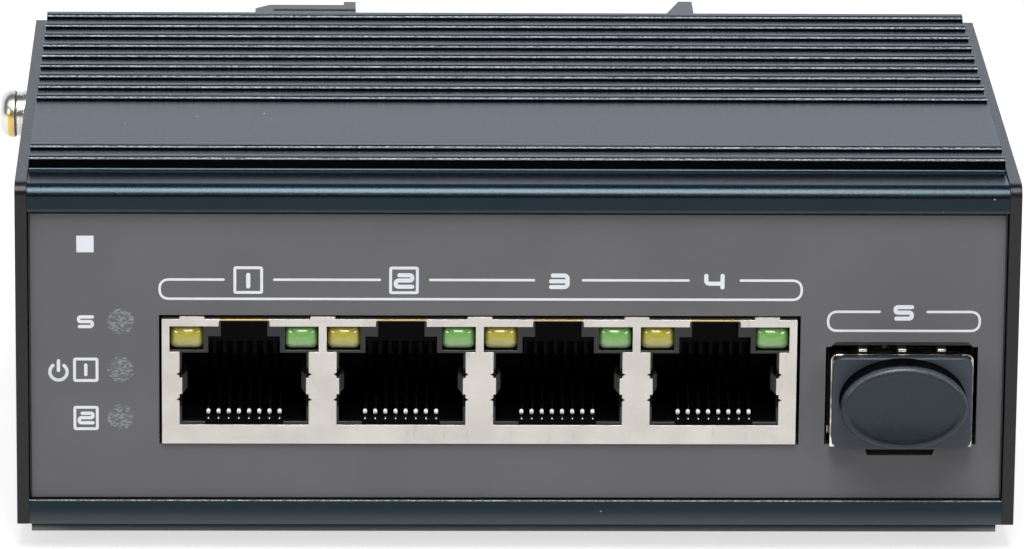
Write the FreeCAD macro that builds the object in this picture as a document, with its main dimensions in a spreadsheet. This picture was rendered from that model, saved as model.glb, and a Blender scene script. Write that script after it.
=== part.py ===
"""Five port power over ethernet switch for a 35 mm rail, modelled in millimetres.

The frame: X runs along the case from the left end plate to the right one, Y runs from the front panel
to the back, and Z is up.  The origin is on the surface that the case stands on, half way along the foot rib
that is nearest to the middle of its depth.
"""
import FreeCAD, Part
import os
import re
import Sketcher

# Driving sizes
# Heights are above the lower edge of the front bar and depths are behind the front plane, unless the name
# says otherwise.
SIZES = {
    # Extruded case
    "case_length": 97.6,
    "case_depth": 63.5,
    "front_height": 35.4,
    "foot_drop": 3.0,
    "pad_rise": 0.55,
    "ledge_depth": 6.5,
    "rib_rise": 0.45,
    "rib_width": 1.3,
    "rib_pitch": 4.08,
    "rib_count": 8,
    "front_rib_pitch": 4.28,
    "front_rib_count": 2,
    "band_end": 29.33,
    "edge_round": 1.3,
    "rib_round": 0.42,
    "riser_round": 0.25,
    "upper_lip": 3.05,
    "lower_lip": 2.45,
    "lip_thick": 0.85,
    "slot_width": 1.6,
    "slot_deep": 1.5,
    "keeper_thick": 1.4,
    "shell_wall": 2.2,
    "rear_wall": 2.5,
    "boss_half": 2.3,
    "boss_inset": 6.4,
    "guide_reach": 2.2,
    "guide_thick": 1.1,
    # Circuit board
    "board_level": 8.35,
    "board_thick": 1.6,
    "board_margin": 1.3,
    "board_front": 3.1,
    "fit_gap": 0.1,
    # Front panel and its film
    "panel_thick": 1.5,
    "film_thick": 0.25,
    "film_gap": 0.18,
    "film_end_gap": 0.3,
    "jack_cut_left": -35.75,
    "jack_cut_right": 28.25,
    "jack_cut_low": 8.2,
    "jack_cut_high": 21.7,
    "cage_cut_left": 30.82,
    "cage_cut_right": 46.04,
    "cage_cut_low": 8.25,
    "cage_cut_high": 18.5,
    "cage_notch_half": 3.25,
    "cage_notch_low": 7.13,
    "cage_step_half": 6.65,
    "cage_step_high": 19.0,
    "notch_slant": 0.45,
    # End plates and screws
    "plate_thick": 1.2,
    "sink_radius": 2.75,
    "screw_length": 9.0,
    "screw_room": 0.05,
    "recess_half": 0.32,
    "recess_reach": 1.25,
    "recess_deep": 0.9,
    # Earth screw on the left plate
    "earth_back": 43.0,
    "earth_high": 30.73,
    "earth_head_radius": 2.45,
    "earth_head_thick": 1.7,
    "earth_crown_round": 1.3,
    "earth_seat_round": 0.3,
    "earth_hole": 1.6,
    "earth_shank": 1.5,
    "earth_reach": 4.4,
    "washer_radius": 2.4,
    "washer_thick": 0.6,
    "lock_radius": 2.3,
    "lock_thick": 0.7,
    "nut_radius": 2.3,
    "nut_thick": 2.2,
    # Row of ports
    "port_middle": -3.78,
    "port_pitch": 15.66,
    "port_count": 4,
    "port_floor": 10.34,
    "shield_width": 63.4,
    "shield_high": 21.37,
    "shield_front": 0.35,
    "shield_depth": 21.0,
    "shield_sheet": 0.25,
    "mouth_half": 6.43,
    "mouth_high": 7.62,
    "lamp_half": 7.42,
    "lamp_high": 10.26,
    "latch_half": 2.52,
    "finger_low": 3.2,
    "finger_high": 4.9,
    "finger_deep": 4.2,
    "finger_bow": 0.5,
    "nick_low": 2.65,
    "nick_high": 5.3,
    "nick_half": 0.3,
    "nick_reach": 0.3,
    "tab_half": 1.25,
    "tab_rise": 0.25,
    "tab_deep": 3.0,
    "tab_side": 5.2,
    # Moulded port bodies, their lamps and contacts
    "insert_gap": 0.03,
    "insert_depth": 16.0,
    "cavity_depth": 12.5,
    "cavity_half": 6.2,
    "cavity_low": 0.3,
    "cavity_high": 7.45,
    "finger_room_half": 6.75,
    "shoulder_half": 3.55,
    "shoulder_high": 9.15,
    "groove_half": 2.3,
    "groove_depth": 9.0,
    "pocket_inner": 4.1,
    "pocket_outer": 7.4,
    "pocket_low": 7.75,
    "pocket_high": 10.3,
    "pocket_depth": 7.0,
    "lamp_inner": 4.2,
    "lamp_outer": 7.25,
    "lamp_low": 8.03,
    "lamp_top": 10.16,
    "lamp_front": 0.8,
    "lamp_round": 0.25,
    "trough_half": 3.95,
    "trough_low": -0.5,
    "trough_front": 1.6,
    "trough_back": 7.0,
    "contact_count": 8,
    "contact_pitch": 1.016,
    "contact_width": 0.36,
    "contact_thick": 0.25,
    "contact_front": 1.9,
    "contact_knee": 0.95,
    "contact_back": 9.5,
    "contact_high": 5.3,
    "comb_front": 9.0,
    "comb_low": 4.75,
    "comb_slot_half": 0.27,
    "comb_slot_high": 6.05,
    "comb_slot_back": 11.5,
    # Fibre module slot
    "cage_middle": 38.42,
    "cage_width": 14.25,
    "cage_high": 18.0,
    "cage_front": -0.3,
    "cage_back": 46.0,
    "cage_sheet": 0.3,
    "cage_round": 0.6,
    "collar_front": 2.6,
    "collar_back": 4.1,
    "collar_sheet": 0.18,
    "collar_finger_half": 0.42,
    "collar_finger_pitch": 3.95,
    "collar_finger_front": 0.1,
    "collar_bow": 0.25,
    "socket_half": 5.6,
    "socket_front": 34.0,
    "socket_high": 14.0,
    "socket_slot_half": 4.6,
    "socket_slot_low": 10.4,
    "socket_slot_high": 11.8,
    "socket_slot_deep": 6.0,
    # Dust plug
    "plug_room": 0.15,
    "plug_deep": 12.0,
    "plug_hollow_wall": 1.3,
    "flange_half": 7.0,
    "flange_low": 8.38,
    "flange_high": 18.15,
    "flange_thick": 1.2,
    "flange_round": 1.1,
    "grip_high": 13.4,
    "grip_half_width": 6.42,
    "grip_half_height": 4.32,
    "grip_thick": 3.3,
    "grip_round": 0.7,
    # Status lamps
    "status_side": -39.6,
    "status_low": 11.05,
    "status_pitch": 5.0,
    "status_count": 3,
    "status_radius": 1.36,
    "status_front": 0.7,
    "status_back": 8.6,
    "status_room": 0.04,
    "holder_half": 2.6,
    "holder_front": 2.6,
    "holder_back": 9.5,
    "holder_high": 24.0,
    # Supply inlet in the left plate
    "inlet_back": 33.0,
    "inlet_half": 11.2,
    "inlet_high": 17.4,
    "inlet_deep": 12.0,
    "inlet_wall": 0.9,
    "inlet_socket_deep": 9.0,
    "pin_pitch": 5.08,
    "pin_count": 4,
    "pin_half": 0.5,
    "pin_inset": 2.0,
    # Rail clip
    "clip_low": 0.3,
    "clip_high": 35.0,
    "clip_left": -26.7,
    "clip_right": 20.4,
    "clip_seat": 2.7,
    "clip_reach": 9.6,
    "rail_right": 19.0,
    "hook_lip": 17.3,
    "hook_crest": 18.9,
    "hook_under": 4.2,
    "hook_nose": 4.6,
    "hook_reach": 10.1,
    "arm_root": -24.7,
    "arm_under": 6.5,
    "arm_top": 8.3,
    "block_top": 5.7,
    "block_right": -17.9,
    "tip_left": -17.2,
    "tip_right": -15.9,
    "tip_inset": 4.0,
    "nose_reach": -15.1,
    "nose_under": 3.9,
    "nose_crest": 4.4,
    "nose_root": 4.9,
    "corner_cut": 1.5,
    "clip_screw_first": -11.0,
    "clip_screw_pitch": 12.0,
    "clip_screw_count": 3,
    "clip_screw_length": 5.4,
    # Pieces on the board
    "chip_half": 7.0,
    "chip_thick": 1.4,
    "chip_side": -6.0,
    "chip_back": 42.0,
    "heat_pad_half": 10.0,
    "poe_half": 4.5,
    "poe_thick": 1.0,
    "poe_side": -26.0,
    "poe_back": 40.0,
    "magnet_half": 7.0,
    "magnet_front": 23.5,
    "magnet_back": 32.5,
    "magnet_thick": 6.0,
    "bulk_radius": 5.0,
    "bulk_high": 20.0,
    "bulk_side": 8.0,
    "bulk_pitch": 12.0,
    "bulk_count": 2,
    "bulk_back": 51.0,
    "coil_half": 5.5,
    "coil_round": 2.0,
    "coil_thick": 7.0,
    "coil_side": -36.0,
    "coil_pitch": 14.0,
    "coil_count": 2,
    "coil_back": 52.0,
}

PLANES = {"X": "YZ_Plane", "Y": "XZ_Plane", "Z": "XY_Plane"}
CASE_ENDS = ("-case_length/2", "case_length/2")
TOLERANCE = 1e-4
SINK_ANGLE = 45

doc = FreeCAD.newDocument("Switch")
sheet = doc.addObject("Spreadsheet::Sheet", "Sizes")
for row, (alias, size) in enumerate(SIZES.items(), start=1):
    sheet.set("A%d" % row, str(size))
    sheet.setAlias("A%d" % row, alias)
doc.recompute()
pieces = []


# Expressions on the sheet

def bound(text):
    """Turn an expression on plain size names into one on the sheet's cells."""
    return re.sub(r"[a-z][a-z_]+", lambda word: "Sizes." + word.group(0), text)


def value(text):
    """Work out an expression on size names."""
    return float(sheet.evalExpression(bound(text)))


def back(text):
    """A place on Y that is measured back from the front plane."""
    return "(%s - band_end - rib_width/2)" % text


def up(text):
    """A place on Z that is measured up from the lower edge of the front bar."""
    return "(foot_drop + %s)" % text


def port_side(index):
    """The middle of a port on X, counted from the left."""
    return "(port_middle + (%d - (port_count - 1)/2)*port_pitch)" % index


# Outlines of sketches, as expressions

def rect(low_u, low_v, high_u, high_v):
    """A rectangle between two corners."""
    return [(low_u, low_v), (high_u, low_v), (high_u, high_v), (low_u, high_v)]


def disc(centre_u, centre_v, radius):
    """A circle."""
    return {"centre": (centre_u, centre_v), "radii": (radius,)}


def oval(centre_u, centre_v, half_u, half_v):
    """An ellipse that is wider along the sketch's first axis."""
    return {"centre": (centre_u, centre_v), "radii": (half_u, half_v)}


def cross(reach, half):
    """A cross about the sketch's origin, as in the head of a screw."""
    left, near = "-" + reach, "-" + half
    return [(reach, near), (reach, half), (half, half), (half, reach), (near, reach), (near, half),
            (left, half), (left, near), (near, near), (near, left), (half, left), (half, near)]


# Features of a body

def origin_of(body, role):
    """The plane or axis of a body's own origin."""
    return next(item for item in body.Origin.OriginFeatures if item.Role == role)


def pin_point(sketch, geometry, position, point):
    """Bind a point of the sketch to its place."""
    for kind, text in zip(("DistanceX", "DistanceY"), point):
        number = sketch.addConstraint(Sketcher.Constraint(kind, -1, 1, geometry, position, value(text)))
        sketch.setExpression("Constraints[%d]" % number, bound(text))


def bind_size(sketch, constraint, text):
    """Bind a length or a radius of the sketch to its size."""
    number = sketch.addConstraint(constraint)
    sketch.setExpression("Constraints[%d]" % number, bound(text))


def draw_polygon(sketch, points):
    """Add a closed outline of straight lines."""
    places = [FreeCAD.Vector(value(u), value(v), 0) for u, v in points]
    count = len(points)
    lines = [sketch.addGeometry(Part.LineSegment(places[i], places[(i + 1) % count])) for i in range(count)]
    for i in range(count):
        sketch.addConstraint(Sketcher.Constraint("Coincident", lines[i], 2, lines[(i + 1) % count], 1))
    for line, point in zip(lines, points):
        pin_point(sketch, line, 1, point)


def draw_round(sketch, shape):
    """Add a circle or an ellipse."""
    centre = FreeCAD.Vector(value(shape["centre"][0]), value(shape["centre"][1]), 0)
    radii = [value(text) for text in shape["radii"]]
    if len(radii) == 1:
        curve = sketch.addGeometry(Part.Circle(centre, FreeCAD.Vector(0, 0, 1), radii[0]))
        bind_size(sketch, Sketcher.Constraint("Radius", curve, radii[0]), shape["radii"][0])
    else:
        curve = sketch.addGeometry(Part.Ellipse(centre, *radii))
        sketch.exposeInternalGeometry(curve)
        sketch.addConstraint(Sketcher.Constraint("Horizontal", curve + 1))
        for axis, (radius, text) in enumerate(zip(radii, shape["radii"]), start=curve + 1):
            bind_size(sketch, Sketcher.Constraint("Distance", axis, 2 * radius), "2*(%s)" % text)
    pin_point(sketch, curve, 3, shape["centre"])


def draw(body, axis, start, outlines):
    """Make a sketch across an axis, at a place along it."""
    sketch = body.newObject("Sketcher::SketchObject", "Outline")
    sketch.AttachmentSupport = [(origin_of(body, PLANES[axis]), "")]
    sketch.MapMode = "FlatFace"
    sketch.setExpression("AttachmentOffset.Base.z", bound("-(%s)" % start if axis == "Y" else start))
    for outline in outlines:
        if isinstance(outline, dict):
            draw_round(sketch, outline)
        else:
            draw_polygon(sketch, outline)
    return sketch


def extrude(body, kind, axis, start, end, outlines):
    """Add a Pad or a Pocket that runs from start to end along an axis."""
    sketch = draw(body, axis, start, outlines)
    feature = body.newObject("PartDesign::" + kind, kind)
    feature.Profile = sketch
    feature.setExpression("Length", bound("(%s) - (%s)" % (end, start)))
    feature.Reversed = (axis == "Y") == (kind == "Pad")
    before = body.Shape.Volume if kind == "Pocket" else None
    body.Tip = feature
    doc.recompute()
    if before is not None and body.Shape.Volume > before - TOLERANCE:
        raise RuntimeError("a pocket of %s cut nothing" % body.Label)
    return feature


def new_body(label):
    """Start a sub-part, which may be a group of separate solids."""
    body = doc.addObject("PartDesign::Body", label)
    body.Label = label
    body.AllowCompound = True
    pieces.append(body)
    return body


def solid(label, axis, start, end, outlines):
    """A sub-part that starts as one extrusion."""
    body = new_body(label)
    extrude(body, "Pad", axis, start, end, outlines)
    return body


def add(body, axis, start, end, outlines):
    """Add an extrusion to a sub-part."""
    return extrude(body, "Pad", axis, start, end, outlines)


def cut(body, axis, start, end, outlines):
    """Cut an extrusion out of a sub-part."""
    return extrude(body, "Pocket", axis, start, end, outlines)


def turned(label, axis, points, places):
    """A sub-part turned about one of its own axes and set down at a place.

    The points are pairs of a place along the axis and a radius.
    """
    body = new_body(label)
    outline = [point if axis == "X" else point[::-1] for point in points]
    sketch = draw(body, "Z", "0", [outline])
    feature = body.newObject("PartDesign::Revolution", "Turning")
    feature.Profile = sketch
    feature.ReferenceAxis = (origin_of(body, axis + "_Axis"), [""])
    feature.Angle = 360
    body.Tip = feature
    for name, text in zip("xyz", places):
        body.setExpression("Placement.Base." + name, bound(text))
    doc.recompute()
    return feature


def repeat(body, features, *runs):
    """Repeat features along one or two axes; a run is an axis, a spacing and a count."""
    pattern = body.newObject("PartDesign::LinearPattern", "Row")
    pattern.Originals = features
    for suffix, (axis, spacing, count) in zip(("", "2"), runs):
        setattr(pattern, "Direction" + suffix, (origin_of(body, axis + "_Axis"), [""]))
        setattr(pattern, "Mode" + suffix, "Extent")
        pattern.setExpression("Length" + suffix, bound("(%s)*(%s - 1)" % (spacing, count)))
        pattern.setExpression("Occurrences" + suffix, bound(count))
    body.Tip = pattern
    doc.recompute()


def edges_at(body, axis, **places):
    """The names of a body's edges that lie along an axis at given places on the other axes."""
    names = []
    for number, edge in enumerate(body.Shape.Edges, start=1):
        box = edge.BoundBox
        span = {"X": box.XLength, "Y": box.YLength, "Z": box.ZLength}
        low = {"x": box.XMin, "y": box.YMin, "z": box.ZMin}
        high = {"x": box.XMax, "y": box.YMax, "z": box.ZMax}
        here = all(
            any(max(abs(low[name] - at), abs(high[name] - at)) < TOLERANCE for at in map(value, texts))
            for name, texts in places.items()
        )
        if here and (axis is None or span[axis] > TOLERANCE):
            names.append("Edge%d" % number)
    return names


def rims_at(body, radius, **places):
    """The names of a body's circular edges of one radius at given places."""
    names = []
    for name in edges_at(body, None, **places):
        curve = body.Shape.getElement(name).Curve
        if isinstance(curve, Part.Circle) and abs(curve.Radius - value(radius)) < TOLERANCE:
            names.append(name)
    return names


def ease(body, kind, size, edges):
    """Round or chamfer the named edges of a body."""
    base = body.Tip
    feature = body.newObject("PartDesign::" + kind, kind)
    feature.Base = (base, edges)
    feature.setExpression("Radius" if kind == "Fillet" else "Size", bound(size))
    body.Tip = feature
    doc.recompute()


# Places that several pieces share
TOP = up("front_height")
CASE_FRONT = back("0")
CASE_BACK = back("case_depth")
SLOT_BACK = "lip_thick + slot_width"
PANEL_FRONT = back("lip_thick + slot_width - panel_thick")
PANEL_BACK = back("lip_thick + slot_width")
FILM_FRONT = back("lip_thick + slot_width - panel_thick - film_thick")
BOARD_TOP = up("board_level")
BOARD_LOW = up("board_level - board_thick")
INNER_FLOOR = up("shell_wall")
BOSS_LOW = up("(shell_wall + board_level - board_thick)/2")
BOSS_HIGH = up("front_height - shell_wall - boss_half")
BOSS_FRONT = back("boss_inset")
BOSS_BACK = back("case_depth - boss_inset")
SHIELD_FRONT = back("shield_front")
INSERT_FRONT = back("shield_front + shield_sheet")
PORT_FLOOR = "(foot_drop + port_floor)"
CLIP_MIDDLE = up("(clip_low + clip_high)/2")
SCREW_HOLE = "(sink_radius - plate_thick)"
SCREW_SHANK = "(sink_radius - plate_thick - screw_room)"


def above_port(text):
    """A place on Z that is measured up from the lower edge of the port mouths."""
    return "(foot_drop + port_floor + %s)" % text


def clip_screw_holes(radius):
    """The circles of the rail clip's screw holes."""
    return [disc("clip_screw_first + %d*clip_screw_pitch" % i, CLIP_MIDDLE, radius)
            for i in range(SIZES["clip_screw_count"])]


def make_housing():
    """The extruded case: a channel open at the front, ribbed above and below."""
    def at(depth, height):
        return back(depth), up(height)

    upper_edge = "front_height - upper_lip"
    keeper = SLOT_BACK + " + keeper_thick"
    ceiling = "front_height - shell_wall"
    inside_back = "case_depth - rear_wall"
    profile = [
        at("0", upper_edge), at("0", "front_height"), at("ledge_depth", "front_height"),
        at("ledge_depth", "front_height + pad_rise"), at("case_depth", "front_height + pad_rise"),
        at("case_depth", "-pad_rise"), at("ledge_depth", "-pad_rise"), at("ledge_depth", "0"), at("0", "0"),
        at("0", "lower_lip"), at("lip_thick", "lower_lip"), at("lip_thick", "lower_lip - slot_deep"),
        at(SLOT_BACK, "lower_lip - slot_deep"), at(SLOT_BACK, "lower_lip"), at(keeper, "lower_lip"),
        at(keeper, "shell_wall"), at(inside_back, "shell_wall"), at(inside_back, ceiling),
        at(keeper, ceiling), at(keeper, upper_edge), at(SLOT_BACK, upper_edge),
        at(SLOT_BACK, upper_edge + " + slot_deep"), at("lip_thick", upper_edge + " + slot_deep"),
        at("lip_thick", upper_edge),
    ]
    body = solid("housing", "X", *CASE_ENDS, [profile])

    def ribs(front, rear):
        rib_top = up("front_height + pad_rise + rib_rise")
        above = rect(front, up("front_height + pad_rise"), rear, rib_top)
        below = rect(front, "0", rear, up("-pad_rise"))
        return add(body, "X", *CASE_ENDS, [above, below])

    rear_ribs = ribs(back("band_end"), back("band_end + rib_width"))
    repeat(body, [rear_ribs], ("Y", "rib_pitch", "rib_count"))
    front_ribs = ribs(back("ledge_depth"), back("ledge_depth + rib_width"))
    repeat(body, [front_ribs], ("Y", "front_rib_pitch", "front_rib_count"))
    ribs(back("band_end + rib_count*rib_pitch"), CASE_BACK)

    bosses = []
    for depth in (BOSS_FRONT, BOSS_BACK):
        near, far = depth + " - boss_half", depth + " + boss_half"
        bosses += [rect(near, INNER_FLOOR, far, BOARD_LOW), disc(depth, BOSS_LOW, SCREW_HOLE)]
        bosses += [rect(near, BOSS_HIGH + " - boss_half", far, up(ceiling))]
        bosses += [disc(depth, BOSS_HIGH, SCREW_HOLE)]
    add(body, "X", *CASE_ENDS, bosses)
    guide_front = back("case_depth - rear_wall - guide_reach")
    guide_back = back(inside_back)
    guides = [
        rect(guide_front, up("board_level - board_thick - guide_thick"), guide_back, BOARD_LOW),
        rect(guide_front, up("board_level + fit_gap"), guide_back, up("board_level + fit_gap + guide_thick")),
    ]
    add(body, "X", *CASE_ENDS, guides)

    cut(body, "Y", back(inside_back), CASE_BACK, clip_screw_holes(SCREW_HOLE))
    ease(body, "Fillet", "edge_round", edges_at(body, "X", y=[CASE_FRONT], z=[TOP]))
    ease(body, "Fillet", "riser_round", edges_at(body, "X", y=[back("ledge_depth")], z=[up("0"), TOP]))
    ease(body, "Fillet", "rib_round", edges_at(body, "X", z=["0", up("front_height + pad_rise + rib_rise")]))


def panel_cuts(spare):
    """The openings of the front panel, each larger by a spare margin."""
    jack = rect("jack_cut_left - " + spare, up("jack_cut_low - " + spare),
                "jack_cut_right + " + spare, up("jack_cut_high + " + spare))
    notch_left = "cage_middle - cage_notch_half"
    notch_right = "cage_middle + cage_notch_half"
    low = up("cage_cut_low - " + spare)
    high = up("cage_cut_high + " + spare)
    cage = [
        ("cage_cut_left - " + spare, low), (notch_left + " - notch_slant", low),
        (notch_left, up("cage_notch_low")), (notch_right, up("cage_notch_low")),
        (notch_right + " + notch_slant", low), ("cage_cut_right + " + spare, low),
        ("cage_cut_right + " + spare, high), ("cage_cut_left - " + spare, high),
    ]
    lamps = [disc("status_side", status_height(i), "status_radius + status_room + " + spare)
             for i in range(SIZES["status_count"])]
    return [jack, cage] + lamps


def status_height(index):
    """The height of a status lamp, counted from the lowest."""
    return up("status_low + %d*status_pitch" % index)


def make_front():
    """The panel that slides in behind the lips, and the printed film on it."""
    slot_floor = up("lower_lip - slot_deep + fit_gap")
    slot_roof = up("front_height - upper_lip + slot_deep - fit_gap")
    sheet_ends = ("-case_length/2 + fit_gap", "case_length/2 - fit_gap")
    outline = rect(sheet_ends[0], slot_floor, sheet_ends[1], slot_roof)
    solid("front_panel", "Y", PANEL_FRONT, PANEL_BACK, [outline] + panel_cuts("fit_gap"))

    outline = rect("-case_length/2 + film_end_gap", up("lower_lip + film_gap"),
                   "case_length/2 - film_end_gap", up("front_height - upper_lip - film_gap"))
    film = solid("front_overlay", "Y", FILM_FRONT, PANEL_FRONT, [outline] + panel_cuts("0"))
    step_left = "cage_middle - cage_step_half"
    step_right = "cage_middle + cage_step_half"
    step = [
        (step_left + " - notch_slant", up("cage_cut_high")),
        (step_right + " + notch_slant", up("cage_cut_high")),
        (step_right, up("cage_step_high")), (step_left, up("cage_step_high")),
    ]
    cut(film, "Y", FILM_FRONT, PANEL_FRONT, [step])


def make_end_plates():
    """The two end plates, each held by four countersunk screws."""
    for side, inner, outer in (("left", "-case_length/2", "-case_length/2 - plate_thick"),
                               ("right", "case_length/2", "case_length/2 + plate_thick")):
        ends = (outer, inner) if side == "left" else (inner, outer)
        body = solid(side + "_end_plate", "X", *ends, [rect(CASE_FRONT, up("0"), CASE_BACK, TOP)])
        ease(body, "Fillet", "edge_round", edges_at(body, "X", y=[CASE_FRONT], z=[TOP]))
        rims = [disc(depth, height, "sink_radius")
                for depth in (BOSS_FRONT, BOSS_BACK) for height in (BOSS_LOW, BOSS_HIGH)]
        if side == "left":
            inlet = rect(back("inlet_back - inlet_half - fit_gap"), up("board_level - fit_gap"),
                         back("inlet_back + inlet_half + fit_gap"), up("inlet_high + fit_gap"))
            earth = disc(back("earth_back"), up("earth_high"), "earth_hole")
            cut(body, "X", *ends, [inlet, earth])
        sink(body, side, outer, rims)
        make_plate_screws(side, outer)


def sink(body, side, outer, rims):
    """Countersink an end plate through its whole thickness."""
    sketch = draw(body, "X", outer, rims)
    feature = body.newObject("PartDesign::Pocket", "Sink")
    feature.Profile = sketch
    feature.setExpression("Length", bound("plate_thick"))
    feature.TaperAngle = -SINK_ANGLE
    feature.Reversed = side == "left"
    before = body.Shape.Volume
    body.Tip = feature
    doc.recompute()
    if body.Shape.Volume > before - TOLERANCE:
        raise RuntimeError("the countersinks of %s cut nothing" % body.Label)


def make_plate_screws(side, outer):
    """The four screws of an end plate, in the channels of the case."""
    inward = "" if side == "left" else "-"
    profile = [
        ("0", "0"), ("0", "sink_radius - screw_room"), (inward + "plate_thick", SCREW_SHANK),
        (inward + "screw_length", SCREW_SHANK), (inward + "screw_length", "0"),
    ]
    turning = turned(side + "_plate_screws", "X", profile, (outer, BOSS_FRONT, BOSS_LOW))
    recess_ends = ("0", "recess_deep") if side == "left" else ("-recess_deep", "0")
    recess = cut(pieces[-1], "X", *recess_ends, [cross("recess_reach", "recess_half")])
    depth_run = "case_depth - 2*boss_inset"
    height_run = "%s - %s" % (BOSS_HIGH, BOSS_LOW)
    repeat(pieces[-1], [turning, recess], ("Y", depth_run, "2"), ("Z", height_run, "2"))


def make_earth_screw():
    """The earth screw with its washers and the nut pressed into the left plate."""
    place = ("-case_length/2 - plate_thick", back("earth_back"), up("earth_high"))
    seat = "-(washer_thick + lock_thick)"
    crown = "(%s - earth_head_thick)" % seat
    screw = [
        (crown, "0"), (crown, "earth_head_radius"), (seat, "earth_head_radius"), (seat, "earth_shank"),
        ("earth_reach", "earth_shank"), ("earth_reach", "0"),
    ]
    turned("ground_screw", "X", screw, place)
    body = pieces[-1]
    for size, rim in (("earth_crown_round", crown), ("earth_seat_round", seat)):
        ease(body, "Fillet", size, rims_at(body, "earth_head_radius", x=["%s + %s" % (place[0], rim)]))
    cut(body, "X", crown, crown + " + recess_deep", [cross("recess_reach", "recess_half")])

    def ring(label, start, end, radius, bore):
        turned(label, "X", [(start, bore), (start, radius), (end, radius), (end, bore)], place)

    ring("ground_washer", "-washer_thick", "0", "washer_radius", "earth_hole")
    ring("ground_lock_washer", seat, "-washer_thick", "lock_radius", "earth_hole")
    ring("ground_nut", "plate_thick", "plate_thick + nut_thick", "nut_radius", "earth_shank")


def make_board():
    """The circuit board, which slides into the guide at the back and rests on the lower channels."""
    outline = rect("-case_length/2 + board_margin", back("board_front"),
                   "case_length/2 - board_margin", back("case_depth - rear_wall - fit_gap"))
    solid("main_board", "Z", BOARD_LOW, BOARD_TOP, [outline])


def make_shield():
    """The folded sheet shell round the row of ports, with its sprung fingers."""
    left = "port_middle - shield_width/2"
    right = "port_middle + shield_width/2"
    shield_back = back("shield_front + shield_depth")
    block = rect(left, BOARD_TOP, right, up("shield_high"))
    shell = solid("jack_shield", "Y", SHIELD_FRONT, shield_back, [block])
    room = rect(left + " + shield_sheet", BOARD_TOP,
                right + " - shield_sheet", up("shield_high - shield_sheet"))
    cut(shell, "Y", INSERT_FRONT, back("shield_front + shield_depth - shield_sheet"), [room])

    mouths = []
    nicks = []
    fingers = []
    ports = range(SIZES["port_count"])
    for middle in map(port_side, ports):
        mouths.append([
            (middle + " - mouth_half", PORT_FLOOR), (middle + " + mouth_half", PORT_FLOOR),
            (middle + " + mouth_half", above_port("mouth_high")),
            (middle + " + lamp_half", above_port("mouth_high")),
            (middle + " + lamp_half", above_port("lamp_high")),
            (middle + " + latch_half", above_port("lamp_high")),
            (middle + " + latch_half", up("shield_high - shield_sheet")),
            (middle + " - latch_half", up("shield_high - shield_sheet")),
            (middle + " - latch_half", above_port("lamp_high")),
            (middle + " - lamp_half", above_port("lamp_high")),
            (middle + " - lamp_half", above_port("mouth_high")),
            (middle + " - mouth_half", above_port("mouth_high")),
        ])
        for sign in "+-":
            edge = "%s %s (mouth_half" % (middle, sign)
            for level in ("nick_low", "nick_high"):
                nicks.append([
                    (edge + " - shield_sheet)", above_port(level + " - nick_half")),
                    (edge + " + nick_reach)", above_port(level)),
                    (edge + " - shield_sheet)", above_port(level + " + nick_half")),
                ])
            fingers.append([
                (edge + ")", SHIELD_FRONT), (edge + ")", INSERT_FRONT),
                (edge + " - finger_bow)", back("shield_front + finger_deep/2")),
                (edge + " - finger_bow/2)", back("shield_front + finger_deep")),
                (edge + " - finger_bow/2 - shield_sheet)", back("shield_front + finger_deep")),
                (edge + " - finger_bow - shield_sheet)", back("shield_front + finger_deep/2")),
                (edge + " - shield_sheet)", SHIELD_FRONT),
            ])
    cut(shell, "Y", SHIELD_FRONT, INSERT_FRONT, mouths)
    cut(shell, "Y", SHIELD_FRONT, INSERT_FRONT, nicks)
    add(shell, "Z", above_port("finger_low"), above_port("finger_high"), fingers)

    tab_places = [port_side(0) + " - tab_side", port_side(ports[-1]) + " + tab_side"]
    tab_places += [port_side(i) + " + port_pitch/2" for i in ports[:-1]]
    tab_levels = (up("shield_high"), up("shield_high + tab_rise"))
    tabs = [rect(place + " - tab_half", tab_levels[0], place + " + tab_half", tab_levels[1])
            for place in tab_places]
    add(shell, "Y", SHIELD_FRONT, back("shield_front + tab_deep"), tabs)


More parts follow.
